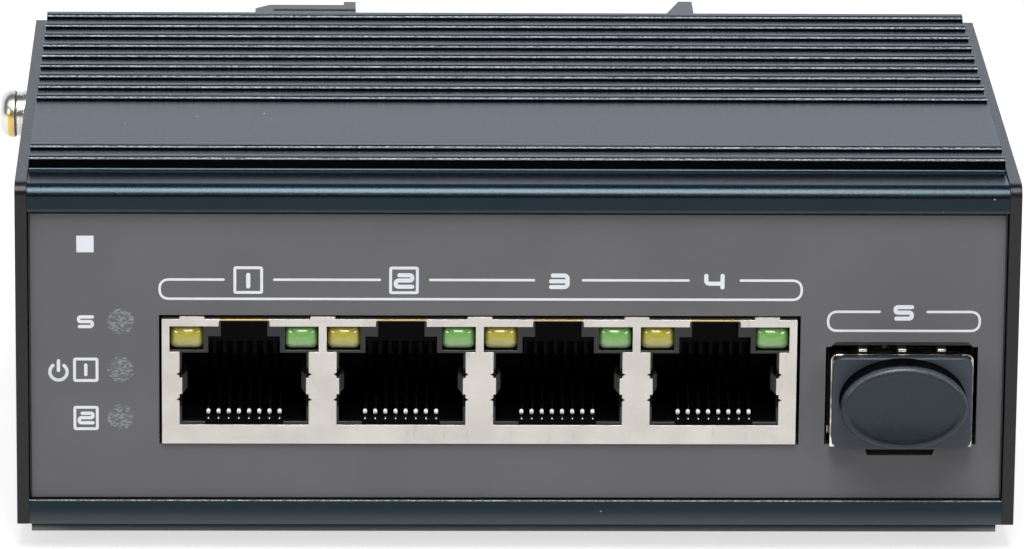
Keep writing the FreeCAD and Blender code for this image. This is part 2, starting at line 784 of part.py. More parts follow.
def make_port(index):
    """One port: its moulded body, its two lamps and its eight contacts."""
    middle = port_side(index)
    number = index + 1

    def across(left, low, right, high):
        return rect(middle + " + " + left, above_port(low), middle + " + " + right, above_port(high))

    half = "(port_pitch/2 - insert_gap)"
    block = rect(middle + " - " + half, BOARD_TOP, middle + " + " + half, up("shield_high - shield_sheet"))
    body = solid("jack_insert_%d" % number, "Y", INSERT_FRONT, back("shield_front + insert_depth"), [block])
    cavity_back = back("shield_front + cavity_depth")
    comb_front = back("comb_front")
    cut(body, "Y", INSERT_FRONT, comb_front, [
        across("-cavity_half", "cavity_low", "cavity_half", "cavity_high")])
    cut(body, "Y", INSERT_FRONT, comb_front, [
        across("-shoulder_half", "cavity_high", "shoulder_half", "shoulder_high")])
    cut(body, "Y", comb_front, cavity_back, [across("-cavity_half", "cavity_low", "cavity_half", "comb_low")])
    groove = rect(middle + " - groove_half", above_port("shoulder_high"),
                  middle + " + groove_half", up("shield_high - shield_sheet"))
    cut(body, "Y", INSERT_FRONT, back("shield_front + groove_depth"), [groove])
    cut(body, "Y", INSERT_FRONT, back("shield_front + finger_deep + fit_gap"), [
        across("-finger_room_half", "finger_low - fit_gap", "finger_room_half", "finger_high + fit_gap")])
    pockets = [across("-pocket_outer", "pocket_low", "-pocket_inner", "pocket_high"),
               across("pocket_inner", "pocket_low", "pocket_outer", "pocket_high")]
    cut(body, "Y", INSERT_FRONT, back("pocket_depth"), pockets)
    trough = rect(middle + " - trough_half", back("trough_front"),
                  middle + " + trough_half", back("trough_back"))
    cut(body, "Z", above_port("trough_low"), above_port("cavity_low"), [trough])

    for colour, left, right in (("yellow", "-lamp_outer", "-lamp_inner"),
                                ("green", "lamp_inner", "lamp_outer")):
        lamp = solid("jack_led_%s_%d" % (colour, number), "Y", back("lamp_front"), back("pocket_depth"),
                     [across(left, "lamp_low", right, "lamp_top")])
        ease(lamp, "Fillet", "lamp_round", edges_at(lamp, None, y=[back("lamp_front")]))

    first = "%s - contact_pitch*(contact_count - 1)/2" % middle
    slot = rect(first + " - comb_slot_half", above_port("comb_low"),
                first + " + comb_slot_half", above_port("comb_slot_high"))
    slots = cut(body, "Y", comb_front, back("comb_slot_back"), [slot])
    repeat(body, [slots], ("X", "contact_pitch", "contact_count"))
    wire = [
        (back("contact_front"), above_port("trough_low")),
        (back("contact_front"), above_port("contact_knee - contact_thick")),
        (back("contact_front + contact_thick"), above_port("contact_knee")),
        (back("contact_back"), above_port("contact_high")),
        (back("contact_back"), above_port("contact_high - contact_thick")),
        (back("contact_front + 2*contact_thick"), above_port("contact_knee - contact_thick")),
        (back("contact_front + contact_thick"), above_port("contact_knee - 2*contact_thick")),
        (back("contact_front + contact_thick"), above_port("trough_low")),
    ]
    contacts = new_body("jack_contacts_%d" % number)
    strip = extrude(contacts, "Pad", "X", first + " - contact_width/2", first + " + contact_width/2", [wire])
    repeat(contacts, [strip], ("X", "contact_pitch", "contact_count"))


def make_fibre_slot():
    """The cage of the fibre module slot, its sprung collar and its socket."""
    left = "cage_middle - cage_width/2"
    right = "cage_middle + cage_width/2"
    front = back("cage_front")
    cage = solid("sfp_cage", "Y", front, back("cage_back"), [rect(left, BOARD_TOP, right, up("cage_high"))])
    ease(cage, "Fillet", "cage_round", edges_at(cage, "Y", x=[left, right], z=[up("cage_high")]))
    room = rect(left + " + cage_sheet", up("board_level + cage_sheet"),
                right + " - cage_sheet", up("cage_high - cage_sheet"))
    cut(cage, "Y", front, back("cage_back - cage_sheet"), [room])

    def round_cage(spare):
        return rect("%s - %s" % (left, spare), BOARD_TOP,
                    "%s + %s" % (right, spare), up("cage_high + " + spare))

    collar_ends = (back("collar_front"), back("collar_back"))
    collar = solid("sfp_emi_collar", "Y", *collar_ends, [round_cage("collar_sheet")])
    cut(collar, "Y", *collar_ends, [round_cage("0")])
    springs = []
    for step in (-1, 0, 1):
        middle = "cage_middle + %d*collar_finger_pitch" % step
        springs.append(rect(middle + " - collar_finger_half", up("cage_high + collar_sheet"),
                            middle + " + collar_finger_half", up("cage_high + collar_sheet + collar_bow")))
    add(collar, "Y", back("collar_finger_front"), back("collar_back"), springs)

    socket_front = back("socket_front")
    socket = solid("sfp_connector", "Y", socket_front, back("cage_back - cage_sheet"), [
        rect("cage_middle - socket_half", up("board_level + cage_sheet"),
             "cage_middle + socket_half", up("socket_high"))])
    slot = rect("cage_middle - socket_slot_half", up("socket_slot_low"),
                "cage_middle + socket_slot_half", up("socket_slot_high"))
    cut(socket, "Y", socket_front, back("socket_front + socket_slot_deep"), [slot])


def make_dust_plug():
    """The rubber plug: a hollow body in the cage, a flange over its mouth and an oval grip."""
    def inside(spare):
        half = "(cage_width/2 - cage_sheet - %s)" % spare
        return rect("cage_middle - " + half, up("board_level + cage_sheet + " + spare),
                    "cage_middle + " + half, up("cage_high - cage_sheet - " + spare))

    front = back("cage_front")
    plug = solid("sfp_dust_plug", "Y", front, back("cage_front + plug_deep"), [inside("plug_room")])
    cut(plug, "Y", back("cage_front + flange_thick"), back("cage_front + plug_deep"), [
        inside("(plug_room + plug_hollow_wall)")])
    flange_front = back("cage_front - flange_thick")
    sides = ["cage_middle - flange_half", "cage_middle + flange_half"]
    levels = [up("flange_low"), up("flange_high")]
    add(plug, "Y", flange_front, front, [rect(sides[0], levels[0], sides[1], levels[1])])
    ease(plug, "Fillet", "flange_round", edges_at(plug, "Y", x=sides, z=levels))
    grip_front = back("cage_front - flange_thick - grip_thick")
    add(plug, "Y", grip_front, flange_front, [
        oval("cage_middle", up("grip_high"), "grip_half_width", "grip_half_height")])
    ease(plug, "Fillet", "grip_round", edges_at(plug, None, y=[grip_front]))


def make_status_lamps():
    """The three round lamps at the left of the panel, in their holder on the board."""
    holder = solid("status_led_holder", "Y", back("holder_front"), back("holder_back"), [
        rect("status_side - holder_half", BOARD_TOP, "status_side + holder_half", up("holder_high"))])
    ends = (back("status_front"), back("status_back"))
    bores = []
    for index in range(SIZES["status_count"]):
        height = status_height(index)
        bores.append(disc("status_side", height, "status_radius + status_room"))
        solid("status_led_%d" % (index + 1), "Y", *ends, [disc("status_side", height, "status_radius")])
    cut(holder, "Y", back("holder_front"), back("status_back"), bores)


def make_supply_inlet():
    """The pin header for the supply plug, flush with the left end plate."""
    outer = "-case_length/2 - plate_thick"
    inner = "%s + inlet_deep" % outer
    socket_end = "%s + inlet_socket_deep" % outer

    def across(spare, low):
        return rect(back("inlet_back - inlet_half + " + spare), up(low),
                    back("inlet_back + inlet_half - " + spare), up("inlet_high - " + spare))

    body = solid("power_header", "X", outer, inner, [across("0", "board_level")])
    cut(body, "X", outer, socket_end, [across("inlet_wall", "board_level + inlet_wall")])
    middle = up("(board_level + inlet_high)/2")
    first = back("inlet_back - pin_pitch*(pin_count - 1)/2")
    pins = new_body("power_header_pins")
    pin = extrude(pins, "Pad", "X", outer + " + pin_inset", socket_end, [
        rect(first + " - pin_half", middle + " - pin_half", first + " + pin_half", middle + " + pin_half")])
    repeat(pins, [pin], ("Y", "pin_pitch", "pin_count"))


def make_rail_clip():
    """The clip on the back: a fixed hook, a rail seat and a sprung arm cut free by a slit.

    The arm's catch is half way up, and a tongue above it and one below it keep its place.
    """
    def at(side, reach):
        return side, back("case_depth + " + reach)

    outline = [
        at("clip_left", "0"), at("clip_right", "0"),
        at("clip_right", "hook_reach"), at("hook_crest", "hook_reach"),
        at("hook_lip", "hook_nose"), at("hook_lip", "hook_under"), at("rail_right", "hook_under"),
        at("rail_right", "clip_seat"), at("block_right", "clip_seat"), at("block_right", "block_top"),
        at("arm_root", "block_top"), at("arm_root", "arm_under"), at("tip_left", "arm_under"),
        at("tip_left", "nose_under"), at("nose_reach", "nose_under"), at("nose_reach", "nose_crest"),
        at("tip_right", "nose_root"), at("tip_right", "clip_reach"), at("tip_left", "clip_reach"),
        at("tip_left", "arm_top"), at("clip_left + corner_cut", "arm_top"),
        at("clip_left", "arm_top - corner_cut"),
    ]
    clip = solid("din_clip", "Z", up("clip_low"), up("clip_high"), [outline])
    leg = rect(*at("block_right", "nose_under"), *at("nose_reach", "arm_under"))
    tongue = rect(*at("block_right", "nose_root"), *at("tip_right", "block_top"))
    slit = "(arm_under - block_top)"
    cut(clip, "Z", up("clip_low"), up("clip_low + tip_inset"), [leg])
    cut(clip, "Z", up("clip_high - tip_inset"), up("clip_high"), [leg])
    add(clip, "Z", up("clip_low"), up("clip_low + tip_inset - " + slit), [tongue])
    add(clip, "Z", up("clip_high - tip_inset + " + slit), up("clip_high"), [tongue])
    seat = back("case_depth + clip_seat")
    cut(clip, "Y", CASE_BACK, seat, clip_screw_holes(SCREW_HOLE))
    ease(clip, "Chamfer", "plate_thick", rims_at(clip, SCREW_HOLE, y=[seat]))

    screw = [
        ("0", "0"), ("0", "sink_radius - screw_room"), ("-plate_thick", SCREW_SHANK),
        ("-clip_screw_length", SCREW_SHANK), ("-clip_screw_length", "0"),
    ]
    turning = turned("din_clip_screws", "Y", screw, ("clip_screw_first", seat, CLIP_MIDDLE))
    repeat(pieces[-1], [turning], ("X", "clip_screw_pitch", "clip_screw_count"))


def make_board_parts():
    """The chips, magnetics, capacitors and inductors on the board, and the pad that cools it."""
    def square(side, depth, half):
        return rect("%s - %s" % (side, half), back("%s - %s" % (depth, half)),
                    "%s + %s" % (side, half), back("%s + %s" % (depth, half)))

    def on_board(label, thick, outlines):
        return solid(label, "Z", BOARD_TOP, up("board_level + " + thick), outlines)

    on_board("switch_chip", "chip_thick", [square("chip_side", "chip_back", "chip_half")])
    on_board("poe_controller", "poe_thick", [square("poe_side", "poe_back", "poe_half")])
    solid("heat_pad", "Z", INNER_FLOOR, BOARD_LOW, [square("chip_side", "chip_back", "heat_pad_half")])
    magnets = [rect(port_side(i) + " - magnet_half", back("magnet_front"),
                    port_side(i) + " + magnet_half", back("magnet_back")) for i in range(SIZES["port_count"])]
    on_board("lan_transformers", "magnet_thick", magnets)
    cans = [disc("bulk_side + %d*bulk_pitch" % i, back("bulk_back"), "bulk_radius")
            for i in range(SIZES["bulk_count"])]
    on_board("bulk_capacitors", "bulk_high", cans)
    coils = on_board("power_inductors", "coil_thick", [
        square("coil_side + %d*coil_pitch" % i, "coil_back", "coil_half")
        for i in range(SIZES["coil_count"])])
    ease(coils, "Fillet", "coil_round", edges_at(coils, "Z", y=[
        back("coil_back - coil_half"), back("coil_back + coil_half")]))


def check_and_write():
    """Stop on a failed object, then write each sub-part to its own file."""
    doc.recompute()
    for item in doc.Objects:
        if "Invalid" in item.State or "Error" in item.State:
            raise RuntimeError("%s failed: %s" % (item.Label, item.State))
    for piece in pieces:
        if piece.Shape.isNull() or not piece.Shape.isValid():
            raise RuntimeError("%s has no valid shape" % piece.Label)
    os.makedirs("parts", exist_ok=True)
    for piece in pieces:
        piece.Shape.exportStep("parts/%s.step" % piece.Label)
    print("wrote %d sub-parts" % len(pieces))


make_housing()
make_front()
make_end_plates()
make_earth_screw()
make_board()
make_shield()
for port in range(SIZES["port_count"]):
    make_port(port)
make_fibre_slot()
make_dust_plug()
make_status_lamps()
make_supply_inlet()
make_rail_clip()
make_board_parts()
check_and_write()
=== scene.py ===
"""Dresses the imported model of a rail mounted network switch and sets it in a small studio.

Every length is in metres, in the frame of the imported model: X to the right, Y to the back and Z up.
"""
import logging
import math
from dataclasses import dataclass, replace
from enum import Enum
from typing import Callable, Mapping, Optional, Sequence, Union

import bmesh
import bpy
from mathutils import Matrix, Vector


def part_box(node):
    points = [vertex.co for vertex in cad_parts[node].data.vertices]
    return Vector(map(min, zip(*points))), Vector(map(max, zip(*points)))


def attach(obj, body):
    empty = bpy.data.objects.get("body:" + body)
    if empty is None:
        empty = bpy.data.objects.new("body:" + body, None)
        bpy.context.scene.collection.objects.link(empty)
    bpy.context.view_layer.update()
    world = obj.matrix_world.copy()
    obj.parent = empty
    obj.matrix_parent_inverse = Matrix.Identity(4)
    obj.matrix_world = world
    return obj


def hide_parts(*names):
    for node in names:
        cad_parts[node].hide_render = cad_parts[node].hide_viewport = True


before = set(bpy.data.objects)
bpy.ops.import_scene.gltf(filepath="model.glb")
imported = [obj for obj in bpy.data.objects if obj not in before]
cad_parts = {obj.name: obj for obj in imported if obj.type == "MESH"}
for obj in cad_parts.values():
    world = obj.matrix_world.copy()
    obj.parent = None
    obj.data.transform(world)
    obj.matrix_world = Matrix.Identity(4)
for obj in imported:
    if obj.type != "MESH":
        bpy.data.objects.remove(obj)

LOG = logging.getLogger("switch")
MM = 0.001
BODY = "root"
EDGE_ATTRIBUTE = "edge"
WHITE = (1.0, 1.0, 1.0)
BLACK = (0.002, 0.002, 0.0025)

Colour = tuple[float, float, float]
Place = tuple[float, float, float]
Point = tuple[float, float]
Span = tuple[float, float]
Path = Sequence[Point]
Ring = Sequence[bmesh.types.BMVert]
Pair = tuple[Vector, Vector]
Lines = tuple[float, float, float, float]
Shape = bmesh.types.BMesh
Piece = bpy.types.Object


# Node trees as expressions

class Signal:
    """An output socket that takes part in Python expressions."""

    def __init__(self, graph: "Graph", socket: bpy.types.NodeSocket) -> None:
        """Wrap a socket of a graph's node."""
        self.graph = graph
        self.socket = socket

    def __add__(self, other: "Value") -> "Signal":
        """Add a number or a signal."""
        return self.graph.maths("ADD", self, other)

    def __radd__(self, other: "Value") -> "Signal":
        """Add to a number."""
        return self.graph.maths("ADD", other, self)

    def __sub__(self, other: "Value") -> "Signal":
        """Take away a number or a signal."""
        return self.graph.maths("SUBTRACT", self, other)

    def __rsub__(self, other: "Value") -> "Signal":
        """Take away from a number."""
        return self.graph.maths("SUBTRACT", other, self)

    def __mul__(self, other: "Value") -> "Signal":
        """Multiply by a number or a signal."""
        return self.graph.maths("MULTIPLY", self, other)

    def __rmul__(self, other: "Value") -> "Signal":
        """Multiply a number."""
        return self.graph.maths("MULTIPLY", other, self)

    def __truediv__(self, other: "Value") -> "Signal":
        """Divide by a number or a signal."""
        return self.graph.maths("DIVIDE", self, other)

    def __rtruediv__(self, other: "Value") -> "Signal":
        """Divide a number."""
        return self.graph.maths("DIVIDE", other, self)

    def __abs__(self) -> "Signal":
        """The size of the value without its sign."""
        return self.graph.maths("ABSOLUTE", self, 0.0)

    def at_least(self, other: "Value") -> "Signal":
        """The larger one of this and another value."""
        return self.graph.maths("MAXIMUM", self, other)

    def rises(self, low: float, high: float) -> "Signal":
        """Go smoothly from 0 to 1 between two values."""
        sockets = {"Value": self, "From Min": low, "From Max": high}
        return self.graph.node("ShaderNodeMapRange", {"interpolation_type": "SMOOTHSTEP"}, sockets)

    def falls(self, low: float, high: float) -> "Signal":
        """Go smoothly from 1 to 0 between two values."""
        return 1.0 - self.rises(low, high)


Value = Union[Signal, float, int, Sequence[float], bpy.types.Material]
Key = Union[str, int]


class Graph:
    """A node tree whose nodes are made by one method."""

    MIX_FACTOR, MIX_FIRST, MIX_SECOND, MIX_RESULT = 0, 6, 7, 2

    def __init__(self, tree: bpy.types.NodeTree) -> None:
        """Take over an empty node tree."""
        self.tree = tree

    def node(self, kind: str, settings: Optional[Mapping[str, object]] = None,
             sockets: Optional[Mapping[Key, Value]] = None, output: Key = 0) -> Signal:
        """Add a node.

        Args:
            kind: The node's type.
            settings: Its own settings, which are set first.
            sockets: The values or signals of its inputs, by name or number.
            output: The output to return.

        Returns:
            The chosen output of the new node.
        """
        node = self.tree.nodes.new(kind)
        for name, setting in (settings or {}).items():
            setattr(node, name, setting)
        for key, value in (sockets or {}).items():
            self.feed(node.inputs[key], value)
        return Signal(self, node.outputs[output])

    def feed(self, socket: bpy.types.NodeSocket, value: Value) -> None:
        """Link a signal to an input, or set the input to a plain value.

        Args:
            socket: The input.
            value: A signal, a number, a colour or a material.
        """
        if isinstance(value, Signal):
            self.tree.links.new(value.socket, socket)
        elif socket.type == "RGBA":
            socket.default_value = (*value[:3], 1.0)
        else:
            socket.default_value = value

    def maths(self, operation: str, first: Value, second: Value) -> Signal:
        """Add a Math node on two values."""
        return self.node("ShaderNodeMath", {"operation": operation}, {0: first, 1: second})

    def mix(self, factor: Value, first: Value, second: Value) -> Signal:
        """Mix two colours."""
        sockets = {self.MIX_FACTOR: factor, self.MIX_FIRST: first, self.MIX_SECOND: second}
        return self.node("ShaderNodeMix", {"data_type": "RGBA"}, sockets, self.MIX_RESULT)

    def own(self, kind: str) -> bpy.types.Node:
        """The node of a type that the tree came with."""
        return next(node for node in self.tree.nodes if node.type == kind)


class Shading(Graph):
    """The node tree of one material, with its surface shader."""

    SPOT_CORE = 0.6

    def __init__(self, name: str) -> None:
        """Make a material with a single surface shader.

        Args:
            name: The material's name.
        """
        self.material = bpy.data.materials.new(name)
        self.material.use_nodes = True
        super().__init__(self.material.node_tree)
        self.shader = self.own("BSDF_PRINCIPLED")
        self.patterns: dict[tuple[float, float, tuple[float, ...]], Signal] = {}

    def surface(self, sockets: Mapping[str, Value]) -> None:
        """Set inputs of the surface shader, by their names."""
        for name, value in sockets.items():
            self.feed(self.shader.inputs[name], value)

    def place(self, centre: Sequence[float] = (0, 0, 0), stretch: Sequence[float] = (1, 1, 1)) -> Signal:
        """Object coordinates about a centre.

        Args:
            centre: The point that becomes the origin.
            stretch: The factor on each axis.

        Returns:
            A vector signal.
        """
        here = self.node("ShaderNodeTexCoord", output="Object")
        moved = self.node("ShaderNodeVectorMath", {"operation": "SUBTRACT"}, {0: here, 1: tuple(centre)})
        return self.node("ShaderNodeVectorMath", {"operation": "MULTIPLY"}, {0: moved, 1: tuple(stretch)})

    def axis(self, name: str, centre: Sequence[float] = (0, 0, 0)) -> Signal:
        """One coordinate, X, Y or Z, about a centre."""
        return self.node("ShaderNodeSeparateXYZ", sockets={0: self.place(centre)}, output=name)

    def noise(self, grain: float, detail: float = 2.0, stretch: Sequence[float] = (1, 1, 1)) -> Signal:
        """A noise pattern with grains of a given size.

        Args:
            grain: The size of a grain.
            detail: The number of finer layers.
            stretch: The factor on each axis, where a smaller one lengthens the grains.

        Returns:
            A signal about 0.5.
        """
        key = (grain, detail, tuple(stretch))
        if key not in self.patterns:
            sockets = {"Vector": self.place(stretch=stretch), "Scale": 1.0 / grain, "Detail": detail}
            self.patterns[key] = self.node("ShaderNodeTexNoise", sockets=sockets)
        return self.patterns[key]

    def flecks(self, grain: float, share: float) -> Signal:
        """1 in small separate spots, one in each cell of a size, which fill a share of it."""
        gap = self.node("ShaderNodeTexVoronoi", sockets={"Vector": self.place(), "Scale": 1.0 / grain})
        return gap.falls(self.SPOT_CORE * share, share)

    def bump(self, height: Value, strength: float, depth: float) -> Signal:
        """A normal that is tilted by a height pattern."""
        sockets = {"Height": height, "Strength": strength, "Distance": depth}
        return self.node("ShaderNodeBump", sockets=sockets)

    def dull(self, share: Value) -> None:
        """Paint shade: make part of the surface dull black.

        Args:
            share: 1 where the painted shade is full.
        """
        matt = self.node("ShaderNodeBsdfDiffuse", sockets={"Color": BLACK})
        glossy = Signal(self, self.shader.outputs[0])
        self.show(self.node("ShaderNodeMixShader", sockets={0: share, 1: glossy, 2: matt}))

    def show(self, shader: Signal) -> None:
        """Make a shader the material's surface."""
        self.feed(self.own("OUTPUT_MATERIAL").inputs["Surface"], shader)

    def edge(self) -> Signal:
        """The edge value of the mesh at a point: worn metal with a painted sheen above 0, painted shade below
        0.
        """
        return self.node("ShaderNodeAttribute", {"attribute_name": EDGE_ATTRIBUTE}, output="Fac")


# Finishes

@dataclass(frozen=True)
class Finish:
    """A finish with a fine grain and a slow mottling.

    Attributes:
        name: The material's name.
        colour: The base colour.
        roughness: The mean roughness.
        metallic: 1 for bare metal.
        specular: The strength of the gloss.
        tint: The colour of the gloss, seen straight on.
        grain: The size of the grain.
        grain_strength: The strength of its bump.
        mottle: The share by which the colour varies.
        mottle_size: The size of the patches.
        mottle_levels: The levels of noise at which a patch is darkest and lightest.
        gloss_spread: How far the roughness varies.
    """
    name: str
    colour: Colour
    roughness: float = 0.5
    metallic: float = 0.0
    specular: float = 0.5
    tint: Colour = WHITE
    grain: float = 0.2 * MM
    grain_strength: float = 0.15
    mottle: float = 0.12
    mottle_size: float = 6 * MM
    mottle_levels: Span = (0.3, 0.7)
    gloss_spread: float = 0.2

    def material(self) -> bpy.types.Material:
        """Make the material of this finish, once.

        Returns:
            The same material for every piece.
        """
        known = bpy.data.materials.get(self.name)
        if known is not None:
            return known
        shade = Shading(self.name)
        self.paint(shade)
        return shade.material

    def paint(self, shade: Shading) -> None:
        """Build the material's nodes.

        Args:
            shade: The material's tree.
        """
        shade.surface({
            "Base Color": self.tone(shade), "Metallic": self.metal(shade), "Roughness": self.gloss(shade),
            "Normal": self.relief(shade), "Specular IOR Level": self.specular, "Specular Tint": self.tint,
        })

    def tone(self, shade: Shading) -> Signal:
        """The colour, lighter and darker in slow patches.

        Args:
            shade: The material's tree.

        Returns:
            A colour signal.
        """
        darker = tuple(channel * (1.0 - self.mottle) for channel in self.colour)
        lighter = tuple(channel * (1.0 + self.mottle) for channel in self.colour)
        return shade.mix(shade.noise(self.mottle_size, 4.0).rises(*self.mottle_levels), darker, lighter)

    def metal(self, shade: Shading) -> Value:
        """How far the surface is bare metal."""
        return self.metallic

    def gloss(self, shade: Shading) -> Signal:
        """The roughness, which varies with the grain."""
        return (shade.noise(self.grain) - 0.5) * self.gloss_spread + self.roughness

    def relief(self, shade: Shading) -> Signal:
        """The normal, tilted by the grain."""
        return shade.bump(shade.noise(self.grain), self.grain_strength, self.grain)


@dataclass(frozen=True)
class CaseFinish(Finish):
    """Blasted and dyed aluminium with tiny bright spots and worn edges, and painted light and shade: a sheen
    on the edges that look up, shade on the faces marked dark, a floor reflection on the lower bar, floor
    light and a shadow on the foot, and a highlight on the upper bar's lower edge.

    Attributes:
        bare_colour: The colour of the worn metal and painted sheen on the edges.
        thin_colour: Their colour on the roundings, with a thin dye and a painted sheen.
        bare_share: How much of the worn metal and painted sheen shows there.
        shade_share: How dark the painted shade on the faces marked dark is.
        wear_roughness: How much rougher the bare edges are.
        worn_levels: The edge value from which the grain breaks up the metal, and the one at which it does so
            fully.
        speckle_grain: The size of the metal's specks there, as a share of the grain.
        speckle_stretch: The factor on each axis of the specks.
        speckle_levels: The levels of noise from which a speck shows and is full.
        speckle_share: How much of the metal is gone between the specks.
        thin_levels: The edge values between which the dye gets thin under a painted sheen, and between which
            it is worn off.
        thin_roughness: How much rougher the roundings are.
        thin_speckle: How far the thin dye and its painted sheen on them vary.
        haze_colour: The colour of the painted floor reflection on the lower bar, which gets lighter towards
            its bottom.
        haze_levels: Up to where it is full, and where it ends.
        foot_colour: The colour of the painted floor light on the foot below it.
        foot_levels: Up to where that light is full, and from where the painted shadow under the bar is full.
        foot_back: How far back both go.
        foot_blur: Over how much depth they end.
        foot_edge: Over how much height the painted floor reflection changes to the foot's painted light.
        rub_colour: The colour of the painted highlight on the lower edge of the upper bar.
        rub_levels: Up to where it is full, and where it ends.
        rub_start: How far below that it starts, and how far below it is full.
        spot_grain: The size of a cell that may hold a bright spot.
        spot_share: How much of the cell the spot fills.
        spot_colour: The colour of the spots.
        spot_field: The size of the areas that have spots.
        spot_levels: The levels of noise from which an area has some and has all of them.
    """
    bare_colour: Colour = (0.60, 0.66, 0.69)
    thin_colour: Colour = (0.50, 0.68, 0.82)
    bare_share: float = 0.64
    shade_share: float = 0.85
    wear_roughness: float = 0.4
    worn_levels: Span = (0.3, 0.6)
    speckle_grain: float = 0.9
    speckle_stretch: Place = (0.8, 1.0, 1.0)
    speckle_levels: Span = (0.38, 0.66)
    speckle_share: float = 0.8
    thin_levels: tuple[Span, Span] = ((0.0, 0.05), (0.25, 0.35))
    thin_roughness: float = 0.08
    thin_speckle: float = 1.6
    haze_colour: Colour = (0.060, 0.060, 0.058)
    haze_levels: Span = (2.95 * MM, 4.8 * MM)
    foot_colour: Colour = (0.72, 0.70, 0.68)
    foot_levels: Span = (0.1 * MM, 0.82 * MM)
    foot_back: float = -23.3 * MM
    foot_blur: float = 0.1 * MM
    foot_edge: float = 0.05 * MM
    rub_colour: Colour = (0.043, 0.048, 0.053)
    rub_levels: Span = (35.57 * MM, 35.95 * MM)
    rub_start: Span = (2 * MM, 1 * MM)
    spot_grain: float = 2.4 * MM
    spot_share: float = 0.05
    spot_colour: Colour = (0.35, 0.37, 0.38)
    spot_field: float = 30 * MM
    spot_levels: Span = (0.5, 0.62)

    def bare(self, shade: Shading) -> Signal:
        """The worn metal and painted sheen on the edges that look up, broken up by the grain where they are
        worn most.

        Args:
            shade: The material's tree.

        Returns:
            The share of metal.
        """
        edge = shade.edge().at_least(0.0)
        noise = shade.noise(self.speckle_grain * self.grain, 4.0, self.speckle_stretch)
        gaps = edge.rises(*self.worn_levels) * noise.falls(*self.speckle_levels) * self.speckle_share
        grain = (shade.noise(self.grain) - 0.5) * self.thin(shade) * self.thin_speckle
        return edge * (1.0 - gaps + grain)

    def paint(self, shade: Shading) -> None:
        """Paint shade: make the faces marked dark dull black."""
        super().paint(shade)
        shade.dull((shade.edge() * -1.0).at_least(0.0) * self.shade_share)

    def tone(self, shade: Shading) -> Signal:
        """The dye with its spots, the painted floor reflection on the lower bar, the painted floor light and
        shadow on the foot, the painted highlight on the upper bar's lower edge, and the worn metal and
        painted sheen on the edges.

        Args:
            shade: The material's tree.

        Returns:
            A colour signal.
        """
        fields = shade.noise(self.spot_field, 1.0).rises(*self.spot_levels)
        spots = shade.flecks(self.spot_grain, self.spot_share) * fields
        dyed = shade.mix(spots, super().tone(shade), self.spot_colour)
        height = shade.axis("Z")
        front = shade.axis("Y").falls(self.foot_back - self.foot_blur, self.foot_back)
        # Painted reflection of the floor on the lower bar, lighter towards its bottom.
        with_floor_reflection = shade.mix(front * height.falls(*self.haze_levels), dyed, self.haze_colour)
        foot = height.falls(self.haze_levels[0] - self.foot_edge, self.haze_levels[0])
        # Painted floor light at the bottom of the foot, and a painted shadow at its top, under the bar.
        dust = shade.mix(height.rises(*self.foot_levels), self.foot_colour, BLACK)
        with_painted_light = shade.mix(front * foot, with_floor_reflection, dust)
        # Painted highlight on the lower edge of the upper bar.
        start, full = (self.rub_levels[0] - below for below in self.rub_start)
        rubbed = front * height.rises(start, full) * height.falls(*self.rub_levels)
        with_painted_light = shade.mix(rubbed, with_painted_light, self.rub_colour)
        # Worn metal with a painted sheen on the edges that look up, and a painted sheen on the roundings.
        metal = shade.mix(self.thin(shade), self.bare_colour, self.thin_colour)
        return shade.mix(self.bare(shade) * self.bare_share, with_painted_light, metal)

    def thin(self, shade: Shading) -> Signal:
        """1 on the roundings whose dye is thin, with a painted sheen."""
        starts, ends = self.thin_levels
        return shade.edge().rises(*starts) * shade.edge().falls(*ends)

    def metal(self, shade: Shading) -> Signal:
        """The metal on the edges, worn and with a painted sheen, and all over the roundings with a thin dye
        and a painted sheen.
        """
        return (self.bare(shade) * self.bare_share).at_least(self.thin(shade))

    def gloss(self, shade: Shading) -> Signal:
        """The roughness, higher on the roundings and the worn edges."""
        worn = (shade.edge() - self.worn_levels[0]).at_least(0.0)
        return super().gloss(shade) + self.thin(shade) * self.thin_roughness + worn * self.wear_roughness

    def relief(self, shade: Shading) -> Signal:
        """A blasted grain of two sizes."""
        height = shade.noise(self.grain) + 0.5 * shade.noise(0.5 * self.grain)
        return shade.bump(height, self.grain_strength, self.grain)


@dataclass(frozen=True)
class PlateFinish(Finish):
    """Textured black paint on a sawn plate, with saw marks on its narrow sides.

    Attributes:
        mark_pitch: The height of a saw mark.
        mark_stretch: The factor on each axis of the marks.
        mark_levels: The levels of the marks from which the paint on a corner is rubbed, and fully so.
        mark_colour: The colour of the rubbed paint.
        grain_share: How much the paint's grain counts beside the marks.
    """
    mark_pitch: float = 0.55 * MM
    mark_stretch: Place = (0.15, 1.0, 1.0)
    mark_levels: Span = (0.45, 0.6)
    mark_colour: Colour = (0.05, 0.052, 0.055)
    grain_share: float = 0.6

    def marks(self, shade: Shading) -> Signal:
        """Uneven marks across the thickness of the plate."""
        return shade.noise(self.mark_pitch, stretch=self.mark_stretch)

    def tone(self, shade: Shading) -> Signal:
        """The paint, rubbed on the corners."""
        rubbed = shade.edge() * self.marks(shade).rises(*self.mark_levels)
        return shade.mix(rubbed, super().tone(shade), self.mark_colour)

    def relief(self, shade: Shading) -> Signal:
        """The paint's grain and the saw marks."""
        height = shade.noise(self.grain) * self.grain_share + self.marks(shade)
        return shade.bump(height, self.grain_strength, self.grain)


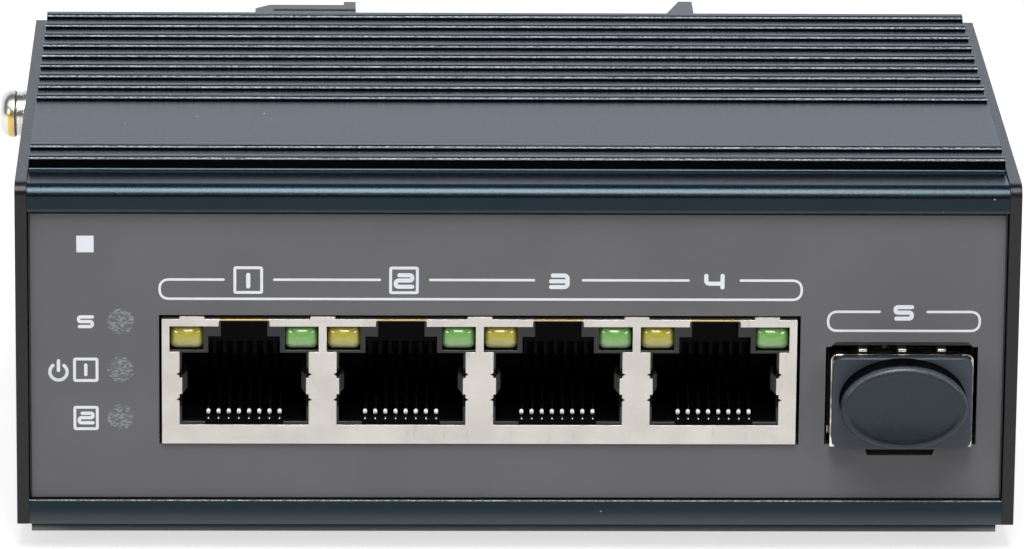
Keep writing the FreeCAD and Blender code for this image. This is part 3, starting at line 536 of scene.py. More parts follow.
@dataclass(frozen=True)
class HollowFinish(Finish):
    """A glossy finish with painted shade: dull black behind a depth, where no light comes in.

    Attributes:
        depth: Where the painted shade starts.
        reach: Over how much depth it grows full.
        share: How dark the painted shade is at the back.
        front: Up to which depth the painted shade lies again, between two heights.
        front_blur: Over how much depth that ends.
        levels: Those heights.
        level_blur: Over how much height it starts and ends.
    """
    depth: float = 0.0
    reach: float = 0.6 * MM
    share: float = 1.0
    front: float = -1.0
    front_blur: float = 0.02 * MM
    levels: Span = (0.0, 0.0)
    level_blur: float = 0.05 * MM

    def paint(self, shade: Shading) -> None:
        """Paint shade over the plain finish at the back, and at the front between the heights.

        Args:
            shade: The material's tree.
        """
        super().paint(shade)
        depth, height = shade.axis("Y"), shade.axis("Z")
        back = depth.rises(self.depth, self.depth + self.reach)
        low, high = self.levels
        band = height.rises(low - self.level_blur, low) * height.falls(high, high + self.level_blur)
        front = band * depth.falls(self.front - self.front_blur, self.front)
        shade.dull(back.at_least(front) * self.share)


@dataclass(frozen=True)
class GripFinish(HollowFinish):
    """Moulded rubber with a painted highlight on its upper rim.

    Attributes:
        rim_colour: The colour of the painted highlight on the rim.
        rim_share: How strong it is.
        rim_levels: The levels of noise at which it is weakest and strongest.
        rim_base: What it has where it is weakest.
    """
    rim_colour: Colour = (0.60, 0.69, 0.78)
    rim_share: float = 0.1
    rim_levels: Span = (0.3, 0.7)
    rim_base: float = 0.4

    def polish(self, shade: Shading) -> Signal:
        """The painted highlight, broken up by the grain."""
        grains = shade.noise(self.grain, 3.0).rises(*self.rim_levels)
        return shade.edge() * (grains + self.rim_base) * self.rim_share

    def tone(self, shade: Shading) -> Signal:
        """The rubber with the painted highlight on its rim."""
        return shade.mix(self.polish(shade), super().tone(shade), self.rim_colour)

    def metal(self, shade: Shading) -> Signal:
        """The painted highlight reflects as metal does."""
        return self.polish(shade)


@dataclass(frozen=True)
class CollarFinish(Finish):
    """Spring sheet in painted shade with painted glints below a level, and bright above it, where the springs
    are.

    Attributes:
        bright_colour: The colour of the springs.
        level: Where they start.
        blur: Over how much height they do.
        fleck_grain: The size of a cell that holds a painted glint.
        fleck_share: How much of it the glint fills.
    """
    bright_colour: Colour = (0.72, 0.69, 0.62)
    level: float = 0.0
    blur: float = 0.03 * MM
    fleck_grain: float = 1.3 * MM
    fleck_share: float = 0.3

    def tone(self, shade: Shading) -> Signal:
        """Painted shade with painted glints below the level, and bright above it.

        Args:
            shade: The material's tree.

        Returns:
            A colour signal.
        """
        springs = shade.axis("Z").rises(self.level - self.blur, self.level)
        bright = springs.at_least(shade.flecks(self.fleck_grain, self.fleck_share))
        return shade.mix(bright, super().tone(shade), self.bright_colour)


@dataclass(frozen=True)
class ShieldFinish(Finish):
    """Tin plated sheet whose sheared top edge shows the base metal inside the latch notches, with a painted
    shadow under it.

    Attributes:
        sheared_colour: The colour of the base metal.
        shade_colour: The colour of the painted shadow on the lower part of the sheet's edge in the notches.
        stain_colour: The colour of small marks in the tin.
        stain_size: The size of a mark.
        stain_stretch: The factor on each axis of the marks.
        stain_levels: The levels of noise from which a mark shows and is full.
        stain_share: How strong a mark is.
        sheet: The thickness of the sheet.
        sheared: The height of the part that shows the base metal.
        top: The height of the sheet's upper face.
        first: The middle of the first port.
        pitch: The spacing of the ports.
        notch_half: Half the width of a latch notch.
        notch_blur: Over how much width on each side its edge changes.
        sheet_blur: Over how much height the edges of the sheet change.
        wave_size: The size of the unevenness of the sheet.
        wave_depth: Its depth.
        grain_share: How much the grain counts beside it.
    """
    sheared_colour: Colour = (0.56, 0.42, 0.22)
    shade_colour: Colour = (0.02, 0.02, 0.02)
    stain_colour: Colour = (0.30, 0.28, 0.25)
    stain_size: float = 0.6 * MM
    stain_stretch: Place = (1.0, 1.0, 0.3)
    stain_levels: Span = (0.64, 0.74)
    stain_share: float = 0.25
    sheet: float = 0.25 * MM
    sheared: float = 0.13 * MM
    top: float = 0.0
    first: float = 0.0
    pitch: float = 1.0
    notch_half: float = 2.45 * MM
    notch_blur: float = 0.02 * MM
    sheet_blur: float = 0.03 * MM
    wave_size: float = 2.5 * MM
    wave_depth: float = 0.3 * MM
    grain_share: float = 0.15

    def tone(self, shade: Shading) -> Signal:
        """The tin with its marks, and the sheared edge in the notches with a painted shadow under it.

        Args:
            shade: The material's tree.

        Returns:
            A colour signal.
        """
        place = shade.maths("PINGPONG", shade.axis("X") - self.first, self.pitch / 2)
        inside = place.falls(self.notch_half - self.notch_blur, self.notch_half + self.notch_blur)
        below = self.top - shade.axis("Z")
        # In the notches the top of the sheet shows the base metal over a painted shadow.
        sheet = inside * below.falls(self.sheet, self.sheet + self.sheet_blur)
        sheared = below.falls(self.sheared, self.sheared + self.sheet_blur)
        stain = shade.noise(self.stain_size, 4.0, self.stain_stretch).rises(*self.stain_levels)
        tin = shade.mix(stain * self.stain_share, super().tone(shade), self.stain_colour)
        return shade.mix(sheet, tin, shade.mix(sheared, self.shade_colour, self.sheared_colour))

    def relief(self, shade: Shading) -> Signal:
        """A slow unevenness under a fine grain."""
        height = shade.noise(self.wave_size) + self.grain_share * shade.noise(self.grain)
        return shade.bump(height, self.grain_strength, self.wave_depth)


@dataclass(frozen=True)
class LensFinish(Finish):
    """Tinted clear plastic under a gloss, lighter towards its lower edge, with a painted shade that darkens
    its sides.

    Attributes:
        low_colour: The colour at the lower edge.
        low_levels: Up to where it is full and where it ends, as shares of half the height.
        rim_level: Where the painted shade of the rim starts, as a share of half the width or height.
        rim_tone: The share of the colour that the rim keeps under its painted shade.
        rim_share: How strong the rim's painted shade is.
        coat_roughness: The roughness of the gloss.
        centre: The middle of the first lens of its colour.
        half: Half the width and half the height of a lens.
        pitch: The spacing of the lenses.
    """
    low_colour: Colour = WHITE
    low_levels: Span = (-0.75, 0.1)
    rim_level: float = 0.8
    rim_tone: float = 0.35
    rim_share: float = 0.6
    coat_roughness: float = 0.04
    centre: Place = (0.0, 0.0, 0.0)
    half: Point = (1.0, 1.0)
    pitch: float = 1.0

    def paint(self, shade: Shading) -> None:
        """Put a clear coat on the plain finish."""
        super().paint(shade)
        shade.surface({"Coat Weight": 1.0, "Coat Roughness": self.coat_roughness})

    def tone(self, shade: Shading) -> Signal:
        """The tint, graded up the lens, with a painted shade to its sides.

        Args:
            shade: The material's tree.

        Returns:
            A colour signal.
        """
        rise = shade.axis("Z", self.centre) / self.half[1]
        aside = shade.maths("PINGPONG", shade.axis("X", self.centre), self.pitch / 2) / self.half[0]
        rim = aside.at_least(abs(rise)).rises(self.rim_level, 1.0)
        colour = shade.mix(rise.rises(*self.low_levels), self.low_colour, self.colour)
        # Painted shade on the lens's rim.
        darker = tuple(channel * self.rim_tone for channel in self.colour)
        return shade.mix(rim * self.rim_share, colour, darker)


@dataclass(frozen=True)
class WindowFinish(Finish):
    """A round window in the film, with pale fibres that fade out at its edge.

    Attributes:
        centre: The window's middle.
        radius: Its radius.
        core: The share of the radius up to which the fibres are full.
        fray_size: The size of the waves in the window's edge.
        fray_depth: Their depth.
        fibre_colour: The colour of the fibres.
        fibre_size: The size of a fibre.
        fibre_stretch: The factor on each axis of the fibres.
        fibre_levels: The levels of noise from which a fibre shows and is full.
        fibre_share: How strong a fibre is.
        base_share: How much of its colour lies between the fibres.
    """
    centre: Place = (0.0, 0.0, 0.0)
    radius: float = 1.0
    core: float = 0.92
    fray_size: float = 0.3 * MM
    fray_depth: float = 0.5 * MM
    fibre_colour: Colour = (0.30, 0.345, 0.39)
    fibre_size: float = 0.2 * MM
    fibre_stretch: Place = (0.7, 1.0, 1.3)
    fibre_levels: Span = (0.44, 0.66)
    fibre_share: float = 0.85
    base_share: float = 0.02

    def tone(self, shade: Shading) -> Signal:
        """Pale fibres over the base colour.

        Args:
            shade: The material's tree.

        Returns:
            A colour signal.
        """
        upright = shade.place(self.centre, (1, 0, 1))
        away = shade.node("ShaderNodeVectorMath", {"operation": "LENGTH"}, {0: upright}, "Value")
        frayed = away + (shade.noise(self.fray_size) - 0.5) * self.fray_depth
        inside = frayed.falls(self.core * self.radius, self.radius)
        fibres = shade.noise(self.fibre_size, 4.0, self.fibre_stretch).rises(*self.fibre_levels)
        share = inside * (fibres * self.fibre_share + self.base_share)
        return shade.mix(share, super().tone(shade), self.fibre_colour)


@dataclass(frozen=True)
class EarthScrewFinish(Finish):
    """Bright plated steel with a yellow band between two places along X, below a height.

    Attributes:
        band_colour: The colour of the band.
        band: Where it starts and ends.
        band_blur: Over how much length on each side it does.
        band_top: The height up to which it goes.
        band_fade: Over how much height it ends there.
    """
    band_colour: Colour = (0.75, 0.52, 0.12)
    band: Span = (0.0, 1.0)
    band_blur: float = 0.12 * MM
    band_top: float = 1.0
    band_fade: float = 0.6 * MM

    def tone(self, shade: Shading) -> Signal:
        """The steel with its band.

        Args:
            shade: The material's tree.

        Returns:
            A colour signal.
        """
        along = shade.axis("X")
        start, end = self.band
        band = along.rises(start - self.band_blur, start + self.band_blur)
        band = band * along.falls(end - self.band_blur, end + self.band_blur)
        band = band * shade.axis("Z").falls(self.band_top - self.band_fade, self.band_top)
        return shade.mix(band, super().tone(shade), self.band_colour)


def derived(kind: type[Finish], base: Finish, name: str, **changes: object) -> Finish:
    """A finish of another kind with the values of a plain one, apart from its name and some changes."""
    return kind(**{**vars(base), "name": name, **changes})


CASE = CaseFinish("blasted case", (0.0025, 0.0042, 0.0062), 0.23, specular=0.39, tint=(0.52, 0.78, 1.0),
                  grain=0.14 * MM, grain_strength=0.035, mottle=0.15)
PLATE = PlateFinish("textured black plate", (0.005, 0.005, 0.0055), 0.32, specular=0.39, grain=0.22 * MM,
                    grain_strength=0.12, mottle=0.25, mottle_size=1.5 * MM)
PANEL = Finish("dark panel sheet", (0.028, 0.027, 0.026), 0.45)
FILM = Finish("grey printed film", (0.130, 0.128, 0.134), 0.55, specular=0.35, grain=0.12 * MM,
              grain_strength=0.08, mottle=0.04, mottle_size=9 * MM)
PRINT = Finish("white screen print", (0.80, 0.82, 0.87), 0.6, grain=0.1 * MM, grain_strength=0.05,
               mottle=0.03)
MOULDING = Finish("black moulding", (0.0045, 0.0047, 0.0055), 0.33, grain=0.3 * MM, grain_strength=0.06)
COMB = Finish("matt black comb", (0.003, 0.003, 0.0035), 0.6, specular=0.02, grain=0.15 * MM,
              grain_strength=0.2)
CONTACT = Finish("plated contact wire", (0.86, 0.82, 0.74), 0.26, 1.0, grain_strength=0.04, mottle=0.08)
# A dark copy of the contact plating: painted shade on the wires deep in the ports.
SHADED_WIRE = replace(CONTACT, name="contact wire in the dark", colour=(0.05, 0.048, 0.045))
CAGE = Finish("nickel plated cage", (0.55, 0.52, 0.46), 0.2, 1.0, grain=0.5 * MM, grain_strength=0.03,
              mottle=0.6, mottle_size=0.9 * MM)
FLANGE = Finish("dark flange rubber", (0.031, 0.035, 0.046), 0.38, tint=(0.86, 0.95, 1.0), grain=0.15 * MM,
                grain_strength=0.08)
CLIP = Finish("dark rail clip", (0.05, 0.05, 0.049), 0.35, grain=0.2 * MM, grain_strength=0.12)
BRIGHT_STEEL = Finish("bright washer steel", (0.78, 0.76, 0.70), 0.25, 1.0, grain_strength=0.05)
DARK_STEEL = Finish("blackened screw steel", (0.10, 0.10, 0.105), 0.4, 0.8)
BOARD = Finish("board solder mask", (0.02, 0.09, 0.045), 0.35, mottle=0.3, mottle_size=1.5 * MM)
EPOXY = Finish("chip epoxy", (0.02, 0.02, 0.02), 0.6)
FILLER = Finish("soft heat filler", (0.40, 0.45, 0.52), 0.8)
SLEEVE = Finish("capacitor sleeve", (0.03, 0.035, 0.06), 0.3)
FERRITE = Finish("coil ferrite", (0.06, 0.06, 0.062), 0.65)


# Meshes

UP_START = 0.1
UP_FULL = 0.35
SLANT_FULL = 0.03


def new_piece(name: str, mesh: Shape, material: bpy.types.Material) -> Piece:
    """Turn a bmesh into an object of the scene.

    Args:
        name: The piece's name.
        mesh: Its shape, which is freed.
        material: Its only material.

    Returns:
        The new object, at the origin.
    """
    data = bpy.data.meshes.new(name)
    mesh.to_mesh(data)
    mesh.free()
    data.materials.append(material)
    piece = bpy.data.objects.new(name, data)
    bpy.context.scene.collection.objects.link(piece)
    return piece


def hand_over(piece: Piece, nodes: Sequence[str] = ()) -> None:
    """Make a finished piece part of the object.

    Args:
        piece: The piece.
        nodes: The solids that it stands for.
    """
    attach(piece, BODY)
    if nodes:
        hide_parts(*nodes)
    LOG.info("piece %s with %d faces", piece.name, len(piece.data.polygons))


def repaint(node: str, finish: Finish) -> None:
    """Give a solid that stays as it is a better material.

    Args:
        node: The solid's name.
        finish: Its finish.
    """
    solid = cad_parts[node]
    solid.data.materials.clear()
    solid.data.materials.append(finish.material())
    LOG.info("solid %s in %s", node, finish.name)


def slant(normal: Vector) -> float:
    """How far a face is part of a rounding that looks up.

    Args:
        normal: The face's normal.

    Returns:
        0 for a face along the axes or one that looks down, and 1 between the side and the top.
    """
    along = max(abs(part) for part in normal)
    upward = min(1.0, max(0.0, (normal.z - UP_START) / (UP_FULL - UP_START)))
    return upward * min(1.0, (1.0 - along) / SLANT_FULL)


def mark_roundings(mesh: Shape, level: float) -> None:
    """Note in the face attribute how far each face above a level is part of a rounding that looks up.

    Args:
        mesh: The shape.
        level: The height of the level.
    """
    mesh.normal_update()
    layer = mesh.faces.layers.float.new(EDGE_ATTRIBUTE)
    for face in mesh.faces:
        if face.calc_center_median().z > level:
            face[layer] = slant(face.normal)


@dataclass(frozen=True)
class Easing:
    """How the sharp edges of a solid are broken in its dressed copy.

    Attributes:
        width: The width of the eased edge.
        steps: The number of faces across it.
        sharp: The angle from which an edge is eased.
        smooth: The angle up to which neighbouring faces are shaded as one surface.
        merge: The distance within which points are the same.
        flat: The angle up to which neighbouring faces are made one.
        round_wear: How much worn metal and painted sheen the solid's own roundings get, beside its eased
            edges.
        worn_level: The height below which all roundings that look up get full worn metal and painted sheen.
        dark_level: The height above which they get full worn metal and painted sheen too, and front faces get
            painted shade.
        dark_front: How far a face with painted shade looks to the front at least.
        dark_slope: How far it may look up.
        dim_front: How far the part of a rounding up there with a lighter painted shade looks to the front at
            least.
        dim_slope: How far it looks up at least.
        dim_share: How dark that lighter painted shade is.
    """
    width: float = 0.06 * MM
    steps: int = 3
    sharp: float = math.radians(35)
    smooth: float = math.radians(14)
    merge: float = 1e-7
    flat: float = math.radians(0.5)
    round_wear: float = 0.125
    worn_level: float = -math.inf
    dark_level: float = math.inf
    dark_front: float = 0.5
    dark_slope: float = 0.24
    dim_front: float = 0.05
    dim_slope: float = 0.8
    dim_share: float = 0.6

    def copy(self, node: str, finish: Finish, slot: str,
             reshape: Optional[Callable[[Shape], None]] = None) -> None:
        """Make the dressed copy of a solid, which then stands for it.

        Its edges with worn metal and a painted sheen, and its faces with painted shade, are marked in a face
        attribute.

        Args:
            node: The solid's name.
            finish: Its finish.
            slot: The record's material slot, which is not used.
            reshape: Changes the copy's mesh before its edges are eased.
        """
        mesh = bmesh.new()
        mesh.from_mesh(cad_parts[node].data)
        bmesh.ops.remove_doubles(mesh, verts=mesh.verts, dist=self.merge)
        if reshape:
            reshape(mesh)
        bmesh.ops.dissolve_limit(mesh, angle_limit=self.flat, verts=mesh.verts, edges=mesh.edges)
        sharp = [edge for edge in mesh.edges
                 if len(edge.link_faces) == 2 and edge.is_convex and edge.calc_face_angle() > self.sharp]
        eased = set(bmesh.ops.bevel(mesh, geom=sharp, offset=self.width, segments=self.steps, profile=0.5,
                                    affect="EDGES", clamp_overlap=True)["faces"])
        mesh.normal_update()
        layer = mesh.faces.layers.float.new(EDGE_ATTRIBUTE)
        for face in mesh.faces:
            face.smooth = True
            face[layer] = self.wear(face, face in eased)
        for edge in mesh.edges:
            within = len(edge.link_faces) == 2 and all(face in eased for face in edge.link_faces)
            edge.smooth = within or edge.calc_face_angle(math.pi) < self.smooth
        piece = new_piece(node + "_dressed", mesh, finish.material())
        weigh_normals(piece)
        hand_over(piece, [node])

    def wear(self, face: bmesh.types.BMFace, eased: bool) -> float:
        """The worn metal and painted sheen of a face, or its painted shade, as one value.

        Args:
            face: The face.
            eased: Whether it belongs to an eased edge.

        Returns:
            1 on a worn edge that looks up, with its painted sheen, 0 on plain faces and -1 for full painted
            shade.
        """
        height = face.calc_center_median().z
        ahead, upward = -face.normal.y, face.normal.z
        raised = height > self.dark_level
        if raised and ahead > self.dark_front and upward < self.dark_slope:
            return -1.0
        if raised and ahead > self.dim_front and upward > self.dim_slope:
            return -self.dim_share
        worn = eased or raised or height < self.worn_level
        return slant(face.normal) * (1.0 if worn else self.round_wear)


def weigh_normals(piece: Piece) -> None:
    """Let the large faces of a piece keep their own normals, so that flat faces are shaded flat.

    Args:
        piece: The piece.
    """
    modifier = piece.modifiers.new("flat faces", "WEIGHTED_NORMAL")
    modifier.keep_sharp = True
    result = baked(piece)
    piece.modifiers.clear()
    piece.data = result


def baked(piece: Piece) -> bpy.types.Mesh:
    """Work out the modifiers of a piece.

    Args:
        piece: The piece.

    Returns:
        The result as a plain mesh.
    """
    bpy.context.view_layer.update()
    graph = bpy.context.evaluated_depsgraph_get()
    return bpy.data.meshes.new_from_object(piece.evaluated_get(graph), depsgraph=graph)


def bridge(mesh: Shape, near: Ring, far: Ring) -> None:
    """Join two rings with the same number of points by a band of faces.

    Args:
        mesh: The shape.
        near: One ring.
        far: The other ring.
    """
    for i in range(len(near)):
        j = (i + 1) % len(near)
        mesh.faces.new((near[i], near[j], far[j], far[i]))


def loft(rings: Sequence[Sequence[Vector]]) -> Shape:
    """Join closed rings of points into one capped skin.

    Args:
        rings: Rings with the same number of points.

    Returns:
        The closed shape with its faces outwards.
    """
    mesh = bmesh.new()
    loops = [[mesh.verts.new(point) for point in ring] for ring in rings]
    for near, far in zip(loops, loops[1:]):
        bridge(mesh, near, far)
    mesh.faces.new(loops[0])
    mesh.faces.new(list(reversed(loops[-1])))
    bmesh.ops.recalc_face_normals(mesh, faces=mesh.faces)
    for face in mesh.faces:
        face.smooth = True
    return mesh


def round_rect(half_width: float, half_height: float, radius: float, steps: int = 6) -> list[Point]:
    """A rectangle with round corners about the origin.

    Args:
        half_width: Half its width.
        half_height: Half its height.
        radius: The corners' radius.
        steps: The number of points on a corner, less one.

    Returns:
        The outline, anticlockwise.
    """
    radius = min(radius, half_width, half_height)
    corners = ((1, 1, 0.0), (-1, 1, 0.5), (-1, -1, 1.0), (1, -1, 1.5))
    points = []
    for side, level, turn in corners:
        for step in range(steps + 1):
            angle = math.pi * (turn + 0.5 * step / steps)
            points.append((side * (half_width - radius) + radius * math.cos(angle),
                           level * (half_height - radius) + radius * math.sin(angle)))
    return points


def ellipse(half_width: float, half_height: float, steps: int = 72) -> list[Point]:
    """An ellipse about the origin."""
    angles = [2 * math.pi * step / steps for step in range(steps)]
    return [(half_width * math.cos(angle), half_height * math.sin(angle)) for angle in angles]


def at_depth(outline: Path, centre: Vector, depth: float) -> list[Vector]:
    """Set an outline upright at a depth along Y."""
    return [Vector((centre.x + u, depth, centre.z + v)) for u, v in outline]


def middle_and_half(low: Vector, high: Vector) -> Pair:
    """The middle of a box and half its sizes, from its corners."""
    return (low + high) / 2, (high - low) / 2


# Geometry Nodes

class RowTree(Graph):
    """A Geometry Nodes tree that repeats one shape along X and ends in real mesh."""

    BEND_POINTS = 6
    CORNER_POINTS = 3
    SHARP = math.radians(40)

    def __init__(self, name: str) -> None:
        """Make the tree with its named inputs.

        Args:
            name: The tree's name.
        """
        super().__init__(bpy.data.node_groups.new(name, "GeometryNodeTree"))
        self.keys: dict[str, str] = {}
        self._add_input("Geometry", "NodeSocketGeometry")
        self.tree.interface.new_socket("Geometry", in_out="OUTPUT", socket_type="NodeSocketGeometry")
        for label, kind in (("Count", "Int"), ("Pitch", "Float"), ("Width", "Float"), ("Thickness", "Float"),
                            ("Corner", "Float"), ("Bend", "Float"), ("Finish", "Material")):
            self._add_input(label, "NodeSocket" + kind)
        self.inputs = self.tree.nodes.new("NodeGroupInput")
        self.finish_tree(self.shape())

    def _add_input(self, label: str, kind: str) -> None:
        """Add a named input and note its identifier."""
        socket = self.tree.interface.new_socket(label, in_out="INPUT", socket_type=kind)
        self.keys[label] = socket.identifier

    def given(self, label: str) -> Signal:
        """A named input as a signal."""
        return Signal(self, self.inputs.outputs[label])

    def shape(self) -> Signal:
        """Make the shape that is repeated: a flat strip swept along the input curve, with rounded bends.

        Returns:
            The shape at the first place.
        """
        path = self.node("GeometryNodeFilletCurve", {"mode": "POLY"}, {
            "Curve": self.given("Geometry"), "Count": self.BEND_POINTS, "Radius": self.given("Bend"),
            "Limit Radius": True})
        section = self.node("GeometryNodeCurvePrimitiveQuadrilateral", {"mode": "RECTANGLE"}, {
            "Width": self.given("Width"), "Height": self.given("Thickness")})
        section = self.node("GeometryNodeFilletCurve", {"mode": "POLY"}, {
            "Curve": section, "Count": self.CORNER_POINTS, "Radius": self.given("Corner"),
            "Limit Radius": True})
        return self.node("GeometryNodeCurveToMesh", sockets={
            "Curve": path, "Profile Curve": section, "Fill Caps": True})

    def finish_tree(self, shape: Signal) -> None:
        """Repeat the shape, make it real mesh and give it its finish.

        Args:
            shape: The shape at the first place.
        """
        step = self.node("ShaderNodeCombineXYZ", sockets={"X": self.given("Pitch")})
        places = self.node("GeometryNodeMeshLine", {"mode": "OFFSET"}, {
            "Count": self.given("Count"), "Offset": step})
        row = self.node("GeometryNodeInstanceOnPoints", sockets={"Points": places, "Instance": shape})
        real = self.node("GeometryNodeRealizeInstances", sockets={"Geometry": row})
        done = self.node("GeometryNodeSetMaterial", sockets={
            "Geometry": real, "Material": self.given("Finish")})
        output = self.tree.nodes.new("NodeGroupOutput")
        self.tree.links.new(done.socket, output.inputs["Geometry"])

    def make(self, name: str, path: Sequence[Vector], finish: Finish, size: Point, corner: float,
             bend: float = 0.0, count: int = 1, pitch: float = 0.0) -> Piece:
        """Sweep a strip along a path and repeat it.

        Args:
            name: The piece's name.
            path: The corners of the first strip's middle line.
            finish: The strips' finish.
            size: Their width and thickness.
            corner: The radius of their corners.
            bend: The radius of their bends.
            count: Their number.
            pitch: Their spacing.

        Returns:
            A mesh object at the origin.
        """
        curve = bpy.data.curves.new(name + "_path", "CURVE")
        curve.dimensions = "3D"
        spline = curve.splines.new("POLY")
        spline.points.add(len(path) - 1)
        for point, place in zip(spline.points, path):
            point.co = (*place, 1.0)
        return self.run(name, curve, {
            "Count": count, "Pitch": pitch, "Width": size[0], "Thickness": size[1], "Corner": corner,
            "Bend": bend, "Finish": finish.material()})

    def run(self, name: str, first: bpy.types.ID, settings: Mapping[str, Value]) -> Piece:
        """Put a curve or a mesh through the tree.

        Args:
            name: The piece's name.
            first: The tree's geometry.
            settings: Its other inputs, by label.

        Returns:
            A mesh object at the origin.
        """
        carrier = bpy.data.objects.new(name + "_first", first)
        bpy.context.scene.collection.objects.link(carrier)
        modifier = carrier.modifiers.new("row", "NODES")
        modifier.node_group = self.tree
        for label, setting in settings.items():
            modifier[self.keys[label]] = setting
        data = baked(carrier)
        bpy.data.objects.remove(carrier)
        data.name = name
        data.shade_smooth()
        data.set_sharp_from_angle(angle=self.SHARP)
        piece = bpy.data.objects.new(name, data)
        bpy.context.scene.collection.objects.link(piece)
        return piece


class SolidRow(RowTree):
    """A Geometry Nodes tree that repeats a ready mesh along X."""

    def shape(self) -> Signal:
        """The mesh itself."""
        return self.given("Geometry")


# Sub-assemblies

class End(Enum):
    """The two ends of the case."""
    LEFT = "left"
    RIGHT = "right"


@dataclass
class Case:
    """The ribbed extrusion, its end plates and its screws.

    Attributes:
        case_edge: The width of the extrusion's broken edges.
        low_level: The height below which its roundings get full worn metal and painted sheen.
        rib_round: The radius of its ribs' upper edges in the solid.
        rib_edge: Their radius in the dressed copy.
        ledge_level: The height of the ledge in front of its upper ribs.
        ledge_depth: The depth of the ledge.
        ledge_span: The height of the rounding in front of it.
        ledge_drop: How far both are lowered.
        ledge_tilt: How much further the back of the ledge is lowered.
        riser_round: The height of the rounding at the back of the ledge.
        lip_levels: The heights of the edges of the lower and the upper lip.
        lip_depth: Their depth, and a little more.
        lip_rises: How far they are raised.
        lip_edge: The width of their broken edges.
        near: The distance within which a point lies on a plane.
        plate_edge: The width of the plates' broken edges.
        screw_edge: The width of the screws' broken edges.
        band: Where the earth screw's yellow band starts and ends, from the seat of its head outwards.
        band_rise: How far it goes above the screw's middle.
    """
    case_edge: float = 0.12 * MM
    low_level: float = 10.9 * MM
    rib_round: float = 0.42 * MM
    rib_edge: float = 0.34 * MM
    ledge_level: float = 38.43 * MM
    ledge_depth: float = 6.51 * MM
    ledge_span: float = 1.6 * MM
    ledge_drop: float = 0.16 * MM
    ledge_tilt: float = 0.16 * MM
    riser_round: float = 0.26 * MM
    lip_levels: Span = (5.45 * MM, 35.35 * MM)
    lip_depth: float = 0.9 * MM
    lip_rises: Span = (0.08 * MM, 0.19 * MM)
    lip_edge: float = 0.12 * MM
    near: float = 0.01 * MM
    plate_edge: float = 0.12 * MM
    screw_edge: float = 0.05 * MM
    band: Span = (0.9 * MM, 0.35 * MM)
    band_rise: float = 1.1 * MM

    def build(self) -> None:
        """Dress the extrusion, the plates and the screws."""
        easing = Easing(self.case_edge, dark_level=self.ledge_level, worn_level=self.low_level)
        easing.copy("housing", CASE, "case_finish", self.refine)
        for end in End:
            Easing(self.plate_edge).copy(end.value + "_end_plate", PLATE, "plate_paint")
            repaint(end.value + "_plate_screws", DARK_STEEL)
        self.build_earth_screw()

    def refine(self, mesh: Shape) -> None:
        """Adjust the ledge, the ribs and the lips to the photograph by tenths of a millimetre."""
        for adjust in (self.lower_ledge, self.sharpen_ribs, self.ease_lips):
            adjust(mesh)

    def ease_lips(self, mesh: Shape) -> None:
        """Break the edges of the two lips, which stand a little higher.

        Args:
            mesh: The extrusion's copy.
        """
        front = min(point.co.y for point in mesh.verts)
        ahead = set()
        for level, rise in zip(self.lip_levels, self.lip_rises):
            lip = [point for point in mesh.verts
                   if point.co.y < front + self.lip_depth and abs(point.co.z - level) < self.near]
            for point in lip:
                point.co.z += rise
            ahead.update(point for point in lip if point.co.y < front + self.near)
        bmesh.ops.dissolve_limit(mesh, angle_limit=Easing.flat, verts=mesh.verts, edges=mesh.edges)
        edges = [edge for edge in mesh.edges if all(point in ahead for point in edge.verts)]
        bmesh.ops.bevel(mesh, geom=edges, offset=self.lip_edge, segments=Easing.steps, profile=0.5,
                        affect="EDGES")

    def lower_ledge(self, mesh: Shape) -> None:
        """Set the ledge and the rounding in front of it a little lower, and most at the back.

        Args:
            mesh: The extrusion's copy.
        """
        front = min(point.co.y for point in mesh.verts)
        low, high = self.ledge_level - self.ledge_span, self.ledge_level + self.riser_round
        for point in mesh.verts:
            behind = point.co.y - front
            if behind < self.ledge_depth and low < point.co.z < high:
                at_back = behind > self.ledge_depth / 2
                point.co.z -= self.ledge_drop + (self.ledge_tilt if at_back else 0.0)

    def sharpen_ribs(self, mesh: Shape) -> None:
        """Draw the upper edges of the ribs in to their smaller radius.

        Args:
            mesh: The extrusion's copy.
        """
        least_sine, least_aside = -0.001, 0.01
        mesh.normal_update()
        top = max(point.co.z for point in mesh.verts)
        excess = self.rib_round - self.rib_edge
        for point in mesh.verts:
            sine = (point.co.z - top) / self.rib_round + 1.0
            aside = point.normal.y
            if sine < least_sine or abs(aside) < least_aside:
                continue
            cosine = math.sqrt(max(0.0, 1.0 - sine * sine))
            point.co.y += math.copysign(excess * (1.0 - cosine), aside)
            point.co.z = top - self.rib_edge * (1.0 - sine)

    def build_earth_screw(self) -> None:
        """Dress the earth screw and its washers."""
        seat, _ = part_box("ground_lock_washer")
        middle, _ = middle_and_half(*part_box("ground_screw"))
        finish = EarthScrewFinish("plated earth screw", (0.80, 0.77, 0.70), 0.3, 1.0, grain_strength=0.02,
                                  band=tuple(seat.x - outward for outward in self.band),
                                  band_top=middle.z + self.band_rise)
        Easing(self.screw_edge).copy("ground_screw", finish, "bright_steel")
        for node in ("ground_washer", "ground_lock_washer"):
            Easing(self.screw_edge).copy(node, BRIGHT_STEEL, "bright_steel")
        repaint("ground_nut", BRIGHT_STEEL)


